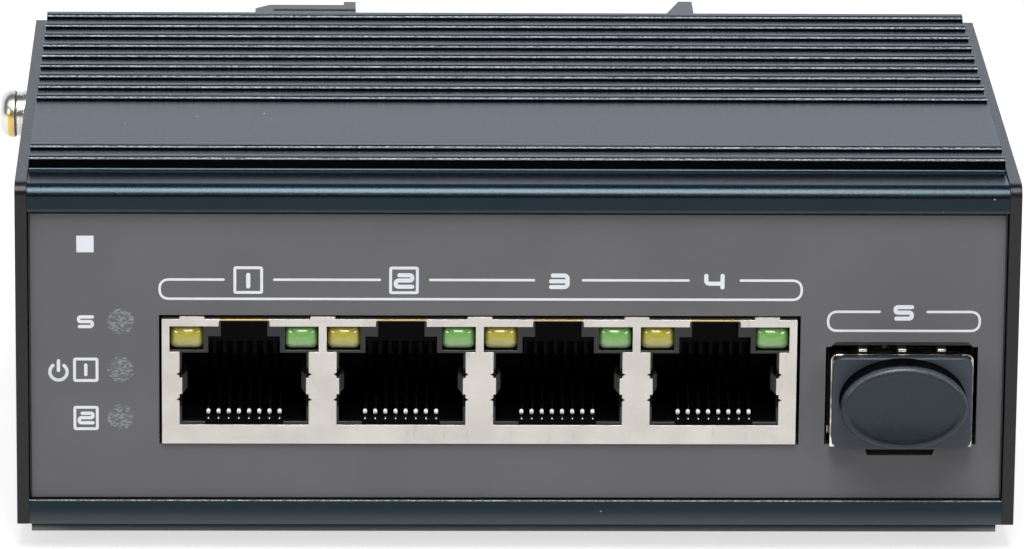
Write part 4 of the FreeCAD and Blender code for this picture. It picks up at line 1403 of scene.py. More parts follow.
@dataclass
class Stroke:
    """A printed line of even width with round ends and bends.

    Attributes:
        width: The width of the line.
        bend: The radius of its middle line at a corner.
        steps: The number of points on a bend or a half round end.
        most: The largest share of a straight stretch that a bend takes up.
    """
    width: float
    bend: float
    steps: int = 8
    most: float = 0.49

    def rounded(self, path: Path, closed: bool) -> list[Vector]:
        """Round the corners of a path.

        Args:
            path: The corners.
            closed: Whether the last corner joins the first.

        Returns:
            The points of the rounded path.
        """
        corners = [Vector(point) for point in path]
        points = []
        for i, corner in enumerate(corners):
            if not closed and i in (0, len(corners) - 1):
                points.append(corner)
                continue
            before = corners[i - 1] - corner
            after = corners[(i + 1) % len(corners)] - corner
            reach = min(self.bend, self.most * before.length, self.most * after.length)
            start = corner + before.normalized() * reach
            end = corner + after.normalized() * reach
            for step in range(self.steps + 1):
                share = step / self.steps
                points.append(start.lerp(corner, share).lerp(corner.lerp(end, share), share))
        return points

    def outline(self, path: Path, closed: bool) -> list[Pair]:
        """Find the two sides of the line.

        Args:
            path: The corners of its middle line.
            closed: Whether it is a closed ring.

        Returns:
            Pairs of points across the line, in order along it.
        """
        points = self.rounded(path, closed)
        pairs = []
        count = len(points)
        for i, point in enumerate(points):
            ahead = points[(i + 1) % count] if closed or i + 1 < count else point
            behind = points[i - 1] if closed or i > 0 else point
            along = (ahead - behind).normalized()
            across = Vector((-along.y, along.x)) * self.width / 2
            pairs.append((point + across, point - across))
        if not closed:
            head = self._cap(pairs[0], points[0] - points[1])
            tail = self._cap(pairs[-1], points[-1] - points[-2])
            pairs = head[::-1] + pairs + tail
        return pairs

    def _cap(self, pair: Pair, outward: Vector) -> list[Pair]:
        """Round an end of the line.

        Args:
            pair: The pair at the end of the straight part.
            outward: The direction off it.

        Returns:
            The pairs of a half round, from the straight part outwards.
        """
        middle = (pair[0] + pair[1]) / 2
        across = (pair[0] - pair[1]) / 2
        ahead = outward.normalized() * self.width / 2
        capped = []
        for step in range(1, self.steps):
            angle = 0.5 * math.pi * step / self.steps
            offset = ahead * math.sin(angle)
            aside = across * math.cos(angle)
            capped.append((middle + aside + offset, middle - aside + offset))
        return capped


class Glyph(Enum):
    """The printed figures, as paths in a unit square that are drawn with round strokes."""
    ONE = (((0.5, 0.0), (0.5, 1.0)),)
    TWO = (((0.22, 1.0), (1.0, 1.0), (1.0, 0.54), (0.0, 0.54), (0.0, 0.0), (1.0, 0.0)),)
    THREE = (((0.1, 1.0), (1.0, 1.0), (1.0, 0.0), (0.0, 0.0)), ((0.0, 0.5), (0.9, 0.5)))
    FOUR = (((0.0, 1.0), (0.0, 0.32), (1.0, 0.32)), ((1.0, 1.0), (1.0, 0.0)))
    FIVE = (((1.0, 1.0), (0.0, 1.0), (0.0, 0.52), (1.0, 0.52), (1.0, 0.0), (0.06, 0.0)),)


@dataclass
class PrintedMarks:
    """The white print on the film: port numbers, brackets, lamp labels and a bullet.

    Sides are measured from the middle of the case, and levels from the film's lower edge.

    Attributes:
        thickness: How far the ink stands off the film.
        overlap: How far a line stands off one that it crosses.
        line: The width of the brackets' lines.
        box_line: The width of the lines of the boxed numbers.
        figure_line: The width of the figures' strokes.
        lamp_line: The width of the strokes of the lamps' labels.
        figure_size: The width and height of a figure's middle lines.
        figure_bend: The radius of its bends, as a share of its height.
        lamp_size: The width and height of the figures of the lamps.
        box_half: Half the width and height of the box round a port's number.
        box_lift: How far the box's middle lies above the number's.
        box_bend: The radius of the boxes' corners.
        lamp_box_half: Half the width and height of the box round a lamp's number.
        boxed: The numbers with a box.
        figure_level: The level of the numbers of the ports.
        figure_sides: Their sides.
        row_bracket: The left, low, right and high lines of the bracket over the ports.
        row_gaps: The stretches that its upper line leaves open.
        fibre_place: The side and level of the fibre slot's number.
        fibre_bracket: The lines of the bracket over the slot.
        fibre_gap: Half the stretch that its upper line leaves open.
        label_side: The side of the lamps' labels and of the bullet.
        label_levels: The labels' levels.
        power_place: The side and level of the sign for power.
        power_radius: The radius of its ring.
        power_arc: Where the ring starts and how far it goes round, in degrees.
        power_steps: The number of its stretches.
        power_bar: From where to where the sign's bar goes, above its middle.
        bullet_level: The bullet's level.
        bullet_half: Half its width.
    """
    CORNERS = ((-1, -1), (1, -1), (1, 1), (-1, 1))

    thickness: float = 0.02 * MM
    overlap: float = 0.002 * MM
    line: float = 0.25 * MM
    box_line: float = 0.29 * MM
    figure_line: float = 0.42 * MM
    lamp_line: float = 0.34 * MM
    figure_size: Point = (1.63 * MM, 1.20 * MM)
    figure_bend: float = 0.32
    lamp_size: Point = (1.36 * MM, 1.00 * MM)
    box_half: Point = (1.33 * MM, 1.28 * MM)
    box_lift: float = 0.06 * MM
    box_bend: float = 0.12 * MM
    lamp_box_half: Point = (1.12 * MM, 1.12 * MM)
    boxed: tuple[Glyph, ...] = (Glyph.ONE, Glyph.TWO)
    figure_level: float = 22.65 * MM
    figure_sides: tuple[float, ...] = (-26.86 * MM, -11.37 * MM, 4.10 * MM, 19.54 * MM)
    row_bracket: Lines = (-35.67 * MM, 20.76 * MM, 28.27 * MM, 22.76 * MM)
    row_gaps: tuple[Span, ...] = ((-29.33 * MM, -24.26 * MM), (-13.78 * MM, -8.76 * MM),
                                  (1.56 * MM, 6.46 * MM), (16.96 * MM, 22.19 * MM))
    fibre_place: Point = (38.5 * MM, 19.43 * MM)
    fibre_bracket: Lines = (30.97 * MM, 17.55 * MM, 46.13 * MM, 19.53 * MM)
    fibre_gap: float = 2.41 * MM
    label_side: float = -43.06 * MM
    label_levels: tuple[float, ...] = (8.29 * MM, 13.34 * MM, 18.35 * MM)
    power_place: Point = (-45.78 * MM, 13.12 * MM)
    power_radius: float = 0.86 * MM
    power_arc: Span = (130.0, 280.0)
    power_steps: int = 24
    power_bar: Span = (0.15 * MM, 1.15 * MM)
    bullet_level: float = 26.42 * MM
    bullet_half: float = 0.86 * MM

    def build(self) -> None:
        """Draw all the marks as one piece of ink on the film."""
        self.film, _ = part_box("front_overlay")
        self.mesh = bmesh.new()
        self.draw_row()
        self.draw_fibre()
        self.draw_lamp_labels()
        self.draw_power()
        self.draw_bullet()
        bmesh.ops.recalc_face_normals(self.mesh, faces=self.mesh.faces)
        hand_over(new_piece("printed_marks", self.mesh, PRINT.material()))

    def draw_row(self) -> None:
        """The bracket over the row of ports, with its numbers."""
        self.bracket(self.row_bracket, self.row_gaps)
        glyphs = (Glyph.ONE, Glyph.TWO, Glyph.THREE, Glyph.FOUR)
        for glyph, side in zip(glyphs, self.figure_sides):
            self.figure(glyph, (side, self.figure_level), self.figure_size, self.figure_line)
            if glyph in self.boxed:
                self.box((side, self.figure_level + self.box_lift), self.box_half)

    def draw_fibre(self) -> None:
        """The bracket over the fibre slot, with its number."""
        side = self.fibre_place[0]
        self.bracket(self.fibre_bracket, [(side - self.fibre_gap, side + self.fibre_gap)])
        self.figure(Glyph.FIVE, self.fibre_place, self.figure_size, self.figure_line)

    def draw_lamp_labels(self) -> None:
        """The numbers beside the status lamps."""
        for glyph, level in zip((Glyph.TWO, Glyph.ONE, Glyph.FIVE), self.label_levels):
            self.figure(glyph, (self.label_side, level), self.lamp_size, self.lamp_line)
            if glyph in self.boxed:
                self.box((self.label_side, level), self.lamp_box_half)

    def draw_power(self) -> None:
        """The sign for power, an open ring with a bar."""
        side, level = self.power_place
        start, sweep = self.power_arc
        radius = self.power_radius
        ring = []
        for step in range(self.power_steps + 1):
            angle = math.radians(start + sweep * step / self.power_steps)
            ring.append((side + radius * math.cos(angle), level + radius * math.sin(angle)))
        self.stroke(ring, self.lamp_line)
        self.stroke([(side, level + rise) for rise in self.power_bar], self.lamp_line)

    def bracket(self, sides: Lines, gaps: Sequence[Span]) -> None:
        """A long ring with round ends whose upper line stops at each number.

        Args:
            sides: Its left, low, right and high lines.
            gaps: The stretches of the upper line that are left open, from the left.
        """
        left, low, right, high = sides
        bend = (high - low) / 2
        first, last = gaps[0][0], gaps[-1][1]
        ring = [(last, high), (right, high), (right, low), (left, low), (left, high), (first, high)]
        self.stroke(ring, self.line, bend)
        for (_, start), (end, _) in zip(gaps, gaps[1:]):
            self.stroke([(start, high), (end, high)], self.line, bend)

    def box(self, centre: Point, half: Point) -> None:
        """A square ring round a number."""
        corners = [(centre[0] + u * half[0], centre[1] + v * half[1]) for u, v in self.CORNERS]
        self.stroke(corners, self.box_line, self.box_bend, closed=True)

    def figure(self, glyph: Glyph, centre: Point, size: Point, line: float) -> None:
        """A figure about a point.

        Args:
            glyph: The figure.
            centre: Its middle.
            size: The width and height of its middle lines.
            line: The width of its strokes.
        """
        for number, path in enumerate(glyph.value):
            corners = [(centre[0] + (u - 0.5) * size[0], centre[1] + (v - 0.5) * size[1]) for u, v in path]
            self.stroke(corners, line, self.figure_bend * size[1], proud=number * self.overlap)

    def stroke(self, path: Path, line: float, bend: float = 0.0, closed: bool = False,
               proud: float = 0.0) -> None:
        """Add one line of ink.

        Args:
            path: The corners of its middle line.
            line: Its width.
            bend: The radius at its corners.
            closed: Whether it is a closed ring.
            proud: How far it stands off the other lines.
        """
        pairs = Stroke(line, bend).outline(path, closed)
        front = [[self.point(side, self.thickness + proud) for side in pair] for pair in pairs]
        back = [[self.point(side, 0.0) for side in pair] for pair in pairs]
        count = len(pairs)
        add = self.mesh.faces.new
        for i in range(count if closed else count - 1):
            j = (i + 1) % count
            add((front[i][0], front[i][1], front[j][1], front[j][0]))
            add((back[i][0], back[j][0], back[j][1], back[i][1]))
            add((front[i][0], front[j][0], back[j][0], back[i][0]))
            add((front[i][1], back[i][1], back[j][1], front[j][1]))
        if not closed:
            for i in (0, count - 1):
                add((front[i][0], back[i][0], back[i][1], front[i][1]))

    def draw_bullet(self) -> None:
        """The solid square bullet at the head of the panel."""
        corners = [Vector((self.label_side + u * self.bullet_half, self.bullet_level + v * self.bullet_half))
                   for u, v in self.CORNERS]
        front = [self.point(corner, self.thickness) for corner in corners]
        back = [self.point(corner, 0.0) for corner in corners]
        self.mesh.faces.new(front)
        self.mesh.faces.new(back[::-1])
        for i, j in ((0, 1), (1, 2), (2, 3), (3, 0)):
            self.mesh.faces.new((front[i], back[i], back[j], front[j]))

    def point(self, place: Vector, proud: float) -> bmesh.types.BMVert:
        """A new point of the ink, by its place on the film and how far it stands off it."""
        return self.mesh.verts.new((place.x, self.film.y - proud, self.film.z + place.y))


@dataclass
class FrontFace:
    """The panel, its film, the printed marks and the lamp windows.

    Attributes:
        lamps: The numbers of the lamps.
        window_margin: How far a window laps over the film round its lamp.
        window_proud: How far it stands off the film.
    """
    lamps: tuple[int, ...] = (1, 2, 3)
    window_margin: float = 0.2 * MM
    window_proud: float = 0.01 * MM

    def build(self) -> None:
        """Dress the panel and the film, then print on it."""
        repaint("front_panel", PANEL)
        repaint("front_overlay", FILM)
        for number in self.lamps:
            self.build_window(number)
        repaint("status_led_holder", MOULDING)
        PrintedMarks().build()

    def build_window(self, number: int) -> None:
        """Lay the film's thin window over a lamp.

        Args:
            number: The lamp's number.
        """
        centre, half = middle_and_half(*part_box("status_led_%d" % number))
        film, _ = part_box("front_overlay")
        finish = derived(WindowFinish, FILM, "lamp window %d" % number, centre=tuple(centre), radius=half.x)
        outline = ellipse(half.x + self.window_margin, half.x + self.window_margin)
        disc = loft([at_depth(outline, centre, depth) for depth in (film.y, film.y - self.window_proud)])
        for face in disc.faces:
            face.smooth = False
        hand_over(new_piece("lamp_window_%d" % number, disc, finish.material()))


class Lamp(Enum):
    """The colours of a port's two lamps: the upper colour and the lower one."""
    YELLOW = ((0.40, 0.345, 0.022), (0.50, 0.48, 0.19))
    GREEN = ((0.15, 0.37, 0.075), (0.34, 0.54, 0.25))


@dataclass
class PortRow:
    """The row of ports: shield, moulded bodies, contact wires and lamps.

    Attributes:
        count: The number of ports.
        wires: The number of contact wires in a port.
        wire_pitch: Their spacing.
        wire_size: Their thickness and width.
        wire_corner: The radius of their corners.
        wire_bend: The radius of their bend.
        wire_knee: The share of their height at which they bend.
        wire_foot: How far they start below the floor of the port.
        nose_size: The width and height of the bright noses of the wires.
        nose_ahead: How far they stand in front of the wires.
        nose_lift: How far their middle lies above the bar of the comb.
        nose_shift: How far they stand to the left of the wires.
        end_size: The width and height of the wires' ends in that bar.
        end_proud: How far they stand out of it.
        rod_length: The length of a nose or an end.
        rod_corner: The radius of its corners, as a share of its smaller size.
        tooth_size: The thickness and width of the comb's teeth between the wires.
        tooth_rise: How far they stand above the floor.
        tooth_ahead: How far they stand in front of the wires.
        comb_half: Half the width of the bar that carries them.
        comb_size: Its depth and height.
        comb_corner: The radius of its corners.
        comb_ahead: How far its middle lies in front of the wires.
        shield_edge: The width of the shield's broken edges.
        moulding_edge: The width of the broken edges of the port bodies.
        gloss_depth: How far into a port the painted shade starts.
        dull_share: How dark the painted shade is further back.
        nick_levels: Between which heights over a port's lower side its front plane gets painted shade.
        nick_depth: How far back that plane reaches.
        lens_corner: The radius of a lens's corners.
        lens_bulge: How far a lens is domed, across its width and across its height.
        lens_reach: How far it stands out in front of its solid.
        lens_drop: How far it hangs below it.
        lens_spread: How far it is wider on each side.
        lens_rings: The number of rings in its dome.
    """
    count: int = 4
    wires: int = 8
    wire_pitch: float = 1.016 * MM
    wire_size: Point = (0.3 * MM, 0.5 * MM)
    wire_corner: float = 0.14 * MM
    wire_bend: float = 0.45 * MM
    wire_knee: float = 0.22
    wire_foot: float = 0.5 * MM
    nose_size: Point = (0.38 * MM, 0.58 * MM)
    nose_ahead: float = 0.35 * MM
    nose_lift: float = 0.4 * MM
    nose_shift: float = 0.095 * MM
    end_size: Point = (0.12 * MM, 0.14 * MM)
    end_proud: float = 0.02 * MM
    rod_length: float = 0.4 * MM
    rod_corner: float = 0.48
    tooth_size: Point = (0.4 * MM, 0.5 * MM)
    tooth_rise: float = 0.76 * MM
    tooth_ahead: float = 0.5 * MM
    comb_half: float = 3.9 * MM
    comb_size: Point = (1.14 * MM, 0.64 * MM)
    comb_corner: float = 0.05 * MM
    comb_ahead: float = 0.78 * MM
    shield_edge: float = 0.08 * MM
    moulding_edge: float = 0.07 * MM
    gloss_depth: float = 0.4 * MM
    dull_share: float = 0.9
    nick_levels: Span = (3.9 * MM, 7.8 * MM)
    nick_depth: float = 0.03 * MM
    lens_corner: float = 0.5 * MM
    lens_bulge: float = 0.47 * MM
    lens_reach: float = 0.4 * MM
    lens_drop: float = 0.18 * MM
    lens_spread: float = 0.08 * MM
    lens_rings: int = 12

    def build(self) -> None:
        """Dress every port, then the shield round them."""
        self.rows = RowTree("row of strips")
        low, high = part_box("jack_insert_1")
        first = (low.x + high.x) / 2
        self.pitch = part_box("jack_insert_2")[0].x - low.x
        # Painted shade: the moulding is dull black deep in each port, and on its front plane behind the
        # shield's nicks.
        moulding = derived(HollowFinish, MOULDING, "black port moulding", depth=low.y + self.gloss_depth,
                           share=self.dull_share, front=low.y + self.nick_depth,
                           levels=tuple(low.z + level for level in self.nick_levels))
        for number in range(1, self.count + 1):
            Easing(self.moulding_edge).copy("jack_insert_%d" % number, moulding, "port_moulding")
            self.build_wires(number)
            self.build_comb(number)
            for lamp in Lamp:
                self.build_lens(number, lamp)
        finish = ShieldFinish("tin plated shield", (0.625, 0.59, 0.555), 0.42, 1.0, grain=0.25 * MM,
                              grain_strength=0.3, mottle=0.07, mottle_size=5 * MM,
                              top=high.z + ShieldFinish.sheet, first=first, pitch=self.pitch)
        Easing(self.shield_edge).copy("jack_shield", finish, "plated_shield")

    def build_wires(self, number: int) -> None:
        """Bend the contact wires of a port, and set their bright noses and ends.

        Args:
            number: The port's number.
        """
        node = "jack_contacts_%d" % number
        low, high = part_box(node)
        half = self.wire_size[0] / 2
        side = low.x + self.wire_size[1] / 2
        knee = low.z + (high.z - low.z) * self.wire_knee
        path = [Vector((side, low.y + half, low.z)), Vector((side, low.y + half, knee)),
                Vector((side, high.y, high.z - half))]
        wires = self.rows.make("contact_wires_%d" % number, path, SHADED_WIRE, self.wire_size,
                               self.wire_corner, self.wire_bend, self.wires, self.wire_pitch)
        hand_over(wires, [node])
        rail = low.z + self.wire_foot + self.comb_size[1]
        nose = Vector((side - self.nose_shift, low.y - self.nose_ahead, rail + self.nose_lift))
        self.build_rods("contact_noses_%d" % number, nose, self.nose_size)
        end_front = low.y - self.comb_ahead - self.comb_size[0] / 2 - self.end_proud
        self.build_rods("contact_ends_%d" % number, Vector((nose.x, end_front, rail)), self.end_size)

    def build_rods(self, name: str, front: Vector, size: Point) -> None:
        """Set a row of short bright rods that point to the front.

        Args:
            name: The piece's name.
            front: The middle of the first rod's front.
            size: Their width and height.
        """
        path = [front, front + Vector((0, self.rod_length, 0))]
        rods = self.rows.make(name, path, CONTACT, size, self.rod_corner * min(size),
                              count=self.wires, pitch=self.wire_pitch)
        hand_over(rods)

    def build_comb(self, number: int) -> None:
        """Set the comb in front of the wires of a port: its teeth and the bar that carries them.

        Args:
            number: The port's number.
        """
        low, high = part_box("jack_contacts_%d" % number)
        floor = low.z + self.wire_foot
        side = low.x + (self.wire_size[1] + self.wire_pitch) / 2
        foot = Vector((side, low.y - self.tooth_ahead, floor))
        tooth = [foot, foot + Vector((0, 0, self.tooth_rise))]
        teeth = self.rows.make("contact_comb_%d" % number, tooth, COMB, self.tooth_size, self.wire_corner,
                               count=self.wires - 1, pitch=self.wire_pitch)
        hand_over(teeth)
        middle = Vector(((low.x + high.x) / 2, low.y - self.comb_ahead, floor + self.comb_size[1] / 2))
        reach = Vector((self.comb_half, 0, 0))
        bar = self.rows.make("contact_comb_bar_%d" % number, [middle - reach, middle + reach], COMB,
                             self.comb_size, self.comb_corner)
        hand_over(bar)

    def build_lens(self, number: int, lamp: Lamp) -> None:
        """Mould one domed lamp of a port.

        Args:
            number: The port's number.
            lamp: Which lamp it is.
        """
        colour = lamp.name.lower()
        node = "jack_led_%s_%d" % (colour, number)
        low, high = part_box(node)
        low -= Vector((self.lens_spread, self.lens_reach, self.lens_drop))
        high.x += self.lens_spread
        centre, half = middle_and_half(low, high)
        upper, lower = lamp.value
        finish = LensFinish(colour + " lens", upper, 0.3, grain_strength=0.02, mottle=0.05, low_colour=lower,
                            centre=tuple(centre), half=(half.x, half.z), pitch=self.pitch)
        outline = round_rect(half.x, half.z, self.lens_corner)
        rings = [at_depth(outline, centre, high.y)]
        for step in range(self.lens_rings):
            share = 1.0 - step / self.lens_rings
            ring = []
            for u, v in outline:
                sink = self.lens_bulge * share ** 2 * ((u / half.x) ** 2 + (v / half.z) ** 2)
                ring.append(Vector((centre.x + u * share, low.y + sink, centre.z + v * share)))
            rings.append(ring)
        lens = new_piece("lamp_lens_%s_%d" % (colour, number), loft(rings), finish.material())
        hand_over(lens, [node])


@dataclass
class FibreSlot:
    """The cage of the fibre slot, its collar and its dust plug.

    Attributes:
        edge: The width of the cage's broken edges.
        collar_sheet: The thickness of the collar.
        flange_thick: The thickness of the plug's flange.
        flange_corner: The radius of its corners.
        flange_trim: How far it stays below the top of its solid.
        flange_ease: The radius of its front edge.
        grip_half: Half the width and height of the grip.
        grip_lift: How far its middle lies above the flange's.
        grip_sink: How far it starts inside the flange.
        grip_round: The radius of its front edge.
        grip_rim: The width of its raised rim.
        grip_dish: How far its face lies below the rim.
        dish_steps: The way down to it, as shares of the rim's inner edge and of the depth.
        gloss_share: The share of the front edge's radius behind which the grip's painted shade starts.
        dull_share: How dark the grip's painted shade is behind it.
        round_steps: The number of faces across a rounded edge.
    """
    edge: float = 0.06 * MM
    collar_sheet: float = 0.18 * MM
    flange_thick: float = 1.2 * MM
    flange_corner: float = 1.1 * MM
    flange_trim: float = 0.15 * MM
    flange_ease: float = 0.25 * MM
    grip_half: Point = (6.35 * MM, 4.32 * MM)
    grip_lift: float = 0.48 * MM
    grip_sink: float = 0.05 * MM
    grip_round: float = 0.55 * MM
    grip_rim: float = 0.25 * MM
    grip_dish: float = 0.15 * MM
    dish_steps: Path = ((0.8, 0.0), (1.0, 0.5), (1.25, 1.0))
    gloss_share: float = 0.7
    dull_share: float = 0.95
    round_steps: int = 8

    def build(self) -> None:
        """Dress the cage and its socket, then mould the plug."""
        Easing(self.edge).copy("sfp_cage", CAGE, "plated_cage")
        _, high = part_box("sfp_cage")
        # The collar's near-black colour is painted shade.
        collar = CollarFinish("spring collar", (0.02, 0.02, 0.02), 0.3, 1.0, level=high.z + self.collar_sheet)
        Easing(self.edge).copy("sfp_emi_collar", collar, "plated_cage")
        repaint("sfp_connector", MOULDING)
        self.build_plug()

    def build_plug(self) -> None:
        """Mould the plug: a rounded flange that goes over to an oval grip with a raised rim."""
        low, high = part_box("sfp_dust_plug")
        high.z -= self.flange_trim
        centre, half = middle_and_half(low, high)
        cage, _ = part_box("sfp_cage")
        front = cage.y - self.flange_thick
        steps = [(0.0, cage.y)] + self.quarter(front, self.flange_ease)
        flange = loft([at_depth(round_rect(half.x - inset, half.z - inset, self.flange_corner), centre, depth)
                       for inset, depth in steps])
        hand_over(new_piece("dust_plug_flange", flange, FLANGE.material()), ["sfp_dust_plug"])

        centre.z += self.grip_lift
        width, height = self.grip_half
        inner = self.grip_round + self.grip_rim
        steps = [(0.0, front + self.grip_sink)] + self.quarter(low.y, self.grip_round)
        steps += [(inner * inset, low.y + self.grip_dish * depth) for inset, depth in self.dish_steps]
        grip = loft([at_depth(ellipse(width - inset, height - inset), centre, depth)
                     for inset, depth in steps])
        mark_roundings(grip, centre.z)
        # Painted highlight on the grip's upper rim, and painted shade on its side behind the front edge.
        finish = derived(GripFinish, FLANGE, "dark grip rubber", colour=(0.006, 0.0085, 0.015), roughness=0.3,
                         tint=(0.84, 0.94, 1.0), depth=low.y + self.gloss_share * self.grip_round,
                         share=self.dull_share)
        hand_over(new_piece("dust_plug_grip", grip, finish.material()))

    def quarter(self, front: float, radius: float) -> list[Point]:
        """The insets and depths of a rounded edge that ends at a front face."""
        angles = [0.5 * math.pi * step / self.round_steps for step in range(self.round_steps + 1)]
        return [(radius * (1 - math.cos(angle)), front + radius * (1 - math.sin(angle))) for angle in angles]


@dataclass
class SupplyInlet:
    """The pin header in the left end plate.

    Attributes:
        edge: The width of its broken edges.
    """
    edge: float = 0.12 * MM

    def build(self) -> None:
        """Dress the header and its pins."""
        Easing(self.edge).copy("power_header", MOULDING, "port_moulding")
        Easing(self.edge).copy("power_header_pins", CONTACT, "contact_plating")


@dataclass
class RailClip:
    """The clip on the back and its screws.

    Attributes:
        edge: The width of its broken edges.
        screws: The number of screws.
        recess_reach: How far the arms of a screw's cross recess reach, as a share of the head.
        recess_width: Half their width, as a share of the head.
        recess_floor: The size of the recess's floor, as a share of its mouth.
        recess_depth: Its depth.
        head_sink: How far the head narrows to the shank.
        shank: The shank's radius, as a share of the head.
        round_steps: The number of faces round it.
    """
    edge: float = 0.1 * MM
    screws: int = 3
    recess_reach: float = 0.58
    recess_width: float = 0.13
    recess_floor: float = 0.55
    recess_depth: float = 0.9 * MM
    head_sink: float = 1.3 * MM
    shank: float = 0.5
    round_steps: int = 48

    def build(self) -> None:
        """Dress the clip and make its screws."""
        Easing(self.edge).copy("din_clip", CLIP, "clip_finish")
        low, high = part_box("din_clip_screws")
        radius = (high.z - low.z) / 2
        pitch = (high.x - low.x - 2 * radius) / (self.screws - 1)
        first = bpy.data.meshes.new("clip_screw")
        screw = self.screw(Vector((low.x + radius, high.y, low.z + radius)), radius, low.y)
        screw.to_mesh(first)
        screw.free()
        row = SolidRow("row of screws").run("clip_screws", first, {
            "Count": self.screws, "Pitch": pitch, "Finish": DARK_STEEL.material()})
        hand_over(row, ["din_clip_screws"])

    def screw(self, centre: Vector, radius: float, tip: float) -> Shape:
        """A countersunk screw with a cross recess that looks to the back.

        Args:
            centre: The middle of its face.
            radius: The radius of its head.
            tip: The depth of its tip.

        Returns:
            The closed shape.
        """
        reach, width = self.recess_reach * radius, self.recess_width * radius
        arm = [(reach, -width), (reach, width), (width, width)]
        cross = []
        for _ in range(4):
            cross += arm
            arm = [(-v, u) for u, v in arm]
        floor = [(u * self.recess_floor, v * self.recess_floor) for u, v in cross]
        head = ellipse(radius, radius, self.round_steps)
        neck = ellipse(self.shank * radius, self.shank * radius, self.round_steps)
        steps = ((floor, centre.y - self.recess_depth), (cross, centre.y), (head, centre.y),
                 (neck, centre.y - self.head_sink), (neck, tip))
        mesh = bmesh.new()
        rings = [[mesh.verts.new(point) for point in at_depth(outline, centre, depth)]
                 for outline, depth in steps]
        mesh.faces.new(rings[0])
        mesh.faces.new(rings[-1])
        for near, far in ((rings[0], rings[1]), (rings[2], rings[3]), (rings[3], rings[4])):
            bridge(mesh, near, far)
        rim = [edge for edge in mesh.edges if len(edge.link_faces) == 1]
        bmesh.ops.triangle_fill(mesh, use_beauty=True, edges=rim)
        bmesh.ops.recalc_face_normals(mesh, faces=mesh.faces)
        return mesh


@dataclass
class Interior:
    """The circuit board and what it carries, closed in by the case."""

    def build(self) -> None:
        """Give each hidden solid its finish."""
        finishes = {"main_board": BOARD, "switch_chip": EPOXY, "poe_controller": EPOXY,
                    "lan_transformers": EPOXY, "heat_pad": FILLER, "bulk_capacitors": SLEEVE,
                    "power_inductors": FERRITE}
        for node, finish in finishes.items():
            repaint(node, finish)


# Studio

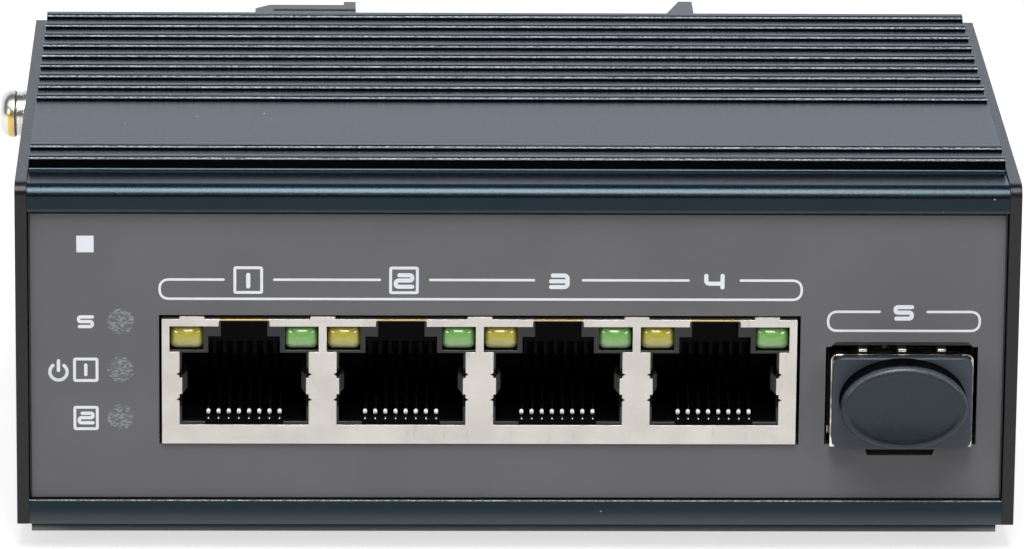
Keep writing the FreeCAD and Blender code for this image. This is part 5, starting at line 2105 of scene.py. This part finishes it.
@dataclass
class Studio:
    """The camera, the floor, the world and the lamps.

    Attributes:
        place: Where the camera stands.
        pitch: How far it looks down, in degrees.
        turn: How far it is turned to the left, in degrees.
        roll: How far it is rolled, in degrees.
        lens: Its focal length in millimetres.
        sensor: The width of its sensor in millimetres.
        floor_half: Half the width of the floor.
        floor_glow: How much brighter it shows to the camera and in gloss.
        floor_colour: Its colour.
        world_fill: The strength of the even fill.
        sky_colour: The colour of the room in gloss.
        wall_slopes: How steeply down and how steeply up the white wall behind goes.
        wall_blur: How softly it ends.
        front_glow: The strength of the room in front of it.
        lamp_distance: How far away the lamps hang.
    """
    place: Place = (-20.07 * MM, -783.94 * MM, 254.84 * MM)
    pitch: float = 16.657
    turn: float = -1.476
    roll: float = 0.538
    lens: float = 278.39
    sensor: float = 36.0
    floor_half: float = 4.0
    floor_glow: float = 0.66
    floor_colour: Colour = (0.50, 0.50, 0.50)
    world_fill: float = 0.28
    sky_colour: Colour = (0.88, 0.96, 1.08)
    wall_slopes: Span = (0.9, 1.2)
    wall_blur: float = 0.15
    front_glow: float = 0.1
    lamp_distance: float = 1.0

    def build(self) -> None:
        """Set up the whole studio."""
        bpy.context.scene.view_settings.view_transform = "Standard"
        self.build_camera()
        self.build_floor()
        self.build_world()
        self.add_lamp("key_top", azimuth=0.0, elevation=60.0, size=(0.28, 0.6), power=7.0)
        for name, azimuth, elevation, width in (("high_", 58.0, 56.0, 0.4), ("side_", 45.0, 22.0, 0.16)):
            for side, turn in (("left", -1), ("right", 1)):
                self.add_lamp(name + side, azimuth * turn, elevation, size=(width, width), power=1.0)

    def build_camera(self) -> None:
        """Stand the camera where the photograph was taken from."""
        data = bpy.data.cameras.new("camera")
        data.lens = self.lens
        data.sensor_width = self.sensor
        data.sensor_fit = "HORIZONTAL"
        camera = bpy.data.objects.new("camera", data)
        turn = Matrix.Rotation(math.radians(self.turn), 4, "Z")
        tilt = Matrix.Rotation(math.radians(90 - self.pitch), 4, "X")
        roll = Matrix.Rotation(math.radians(self.roll), 4, "Z")
        camera.matrix_world = Matrix.Translation(self.place) @ turn @ tilt @ roll
        bpy.context.scene.collection.objects.link(camera)
        bpy.context.scene.camera = camera

    def build_floor(self) -> None:
        """Lay a pale floor that shows white to the camera and in reflections, and keeps the shadow."""
        shade = Shading("pale floor")
        shade.tree.nodes.remove(shade.shader)
        seen = self.seen(shade)
        paper = shade.node("ShaderNodeBsdfDiffuse", sockets={"Color": self.floor_colour})
        glow = shade.node("ShaderNodeEmission", sockets={"Color": WHITE, "Strength": seen * self.floor_glow})
        shade.show(shade.node("ShaderNodeAddShader", sockets={0: paper, 1: glow}))
        mesh = bmesh.new()
        bmesh.ops.create_grid(mesh, x_segments=1, y_segments=1, size=self.floor_half)
        new_piece("floor", mesh, shade.material)

    @staticmethod
    def seen(graph: Graph) -> Signal:
        """Tell the rays that show the background: from the camera, in gloss and through clear things.

        Args:
            graph: The tree that needs it.

        Returns:
            A signal that is 1 for them.
        """
        rays = graph.node("ShaderNodeLightPath", output="Is Camera Ray")
        for name in ("Is Glossy Ray", "Is Transmission Ray"):
            rays = rays.at_least(graph.node("ShaderNodeLightPath", output=name))
        return rays

    def build_world(self) -> None:
        """A white wall behind, a dim ceiling and a dim front, and a soft even fill."""
        world = bpy.data.worlds.new("studio")
        bpy.context.scene.world = world
        world.use_nodes = True
        graph = Graph(world.node_tree)
        direction = graph.node("ShaderNodeTexCoord", output="Generated")
        rise = graph.node("ShaderNodeSeparateXYZ", sockets={0: direction}, output="Z")
        behind = graph.node("ShaderNodeSeparateXYZ", sockets={0: direction}, output="Y")
        down, up = self.wall_slopes
        wall = (rise + behind * down).rises(-self.wall_blur, self.wall_blur)
        wall = wall * (rise - behind * up).falls(-self.wall_blur, self.wall_blur)
        sky = wall * (1.0 - self.front_glow) + self.front_glow
        seen = self.seen(graph)
        strength = seen * sky + (1.0 - seen) * self.world_fill
        background = graph.own("BACKGROUND")
        gloss = graph.node("ShaderNodeLightPath", output="Is Glossy Ray")
        colour = graph.mix(gloss, WHITE, self.sky_colour)
        graph.feed(background.inputs["Color"], colour)
        graph.feed(background.inputs["Strength"], strength)

    def add_lamp(self, name: str, azimuth: float, elevation: float, size: Point, power: float) -> None:
        """Hang a soft lamp that faces the object.

        Args:
            name: The lamp's name.
            azimuth: Its direction to the right of the front, in degrees.
            elevation: Its direction above the horizon, in degrees.
            size: Its width and height.
            power: Its power in watts.
        """
        data = bpy.data.lights.new(name, "AREA")
        data.shape = "RECTANGLE"
        data.size, data.size_y = size
        data.energy = power
        lamp = bpy.data.objects.new(name, data)
        turn, rise = math.radians(azimuth), math.radians(elevation)
        level = math.cos(rise)
        away = Vector((math.sin(turn) * level, -math.cos(turn) * level, math.sin(rise)))
        lamp.location = away * self.lamp_distance
        lamp.rotation_euler = away.to_track_quat("Z", "Y").to_euler()
        bpy.context.scene.collection.objects.link(lamp)


def main() -> None:
    """Build the studio and every sub-assembly."""
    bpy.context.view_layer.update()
    for assembly in (Studio, Case, FrontFace, PortRow, FibreSlot, SupplyInlet, RailClip, Interior):
        LOG.info("building %s", assembly.__name__)
        assembly().build()


if __name__ == "__main__":
    logging.basicConfig(level=logging.INFO)
    main()
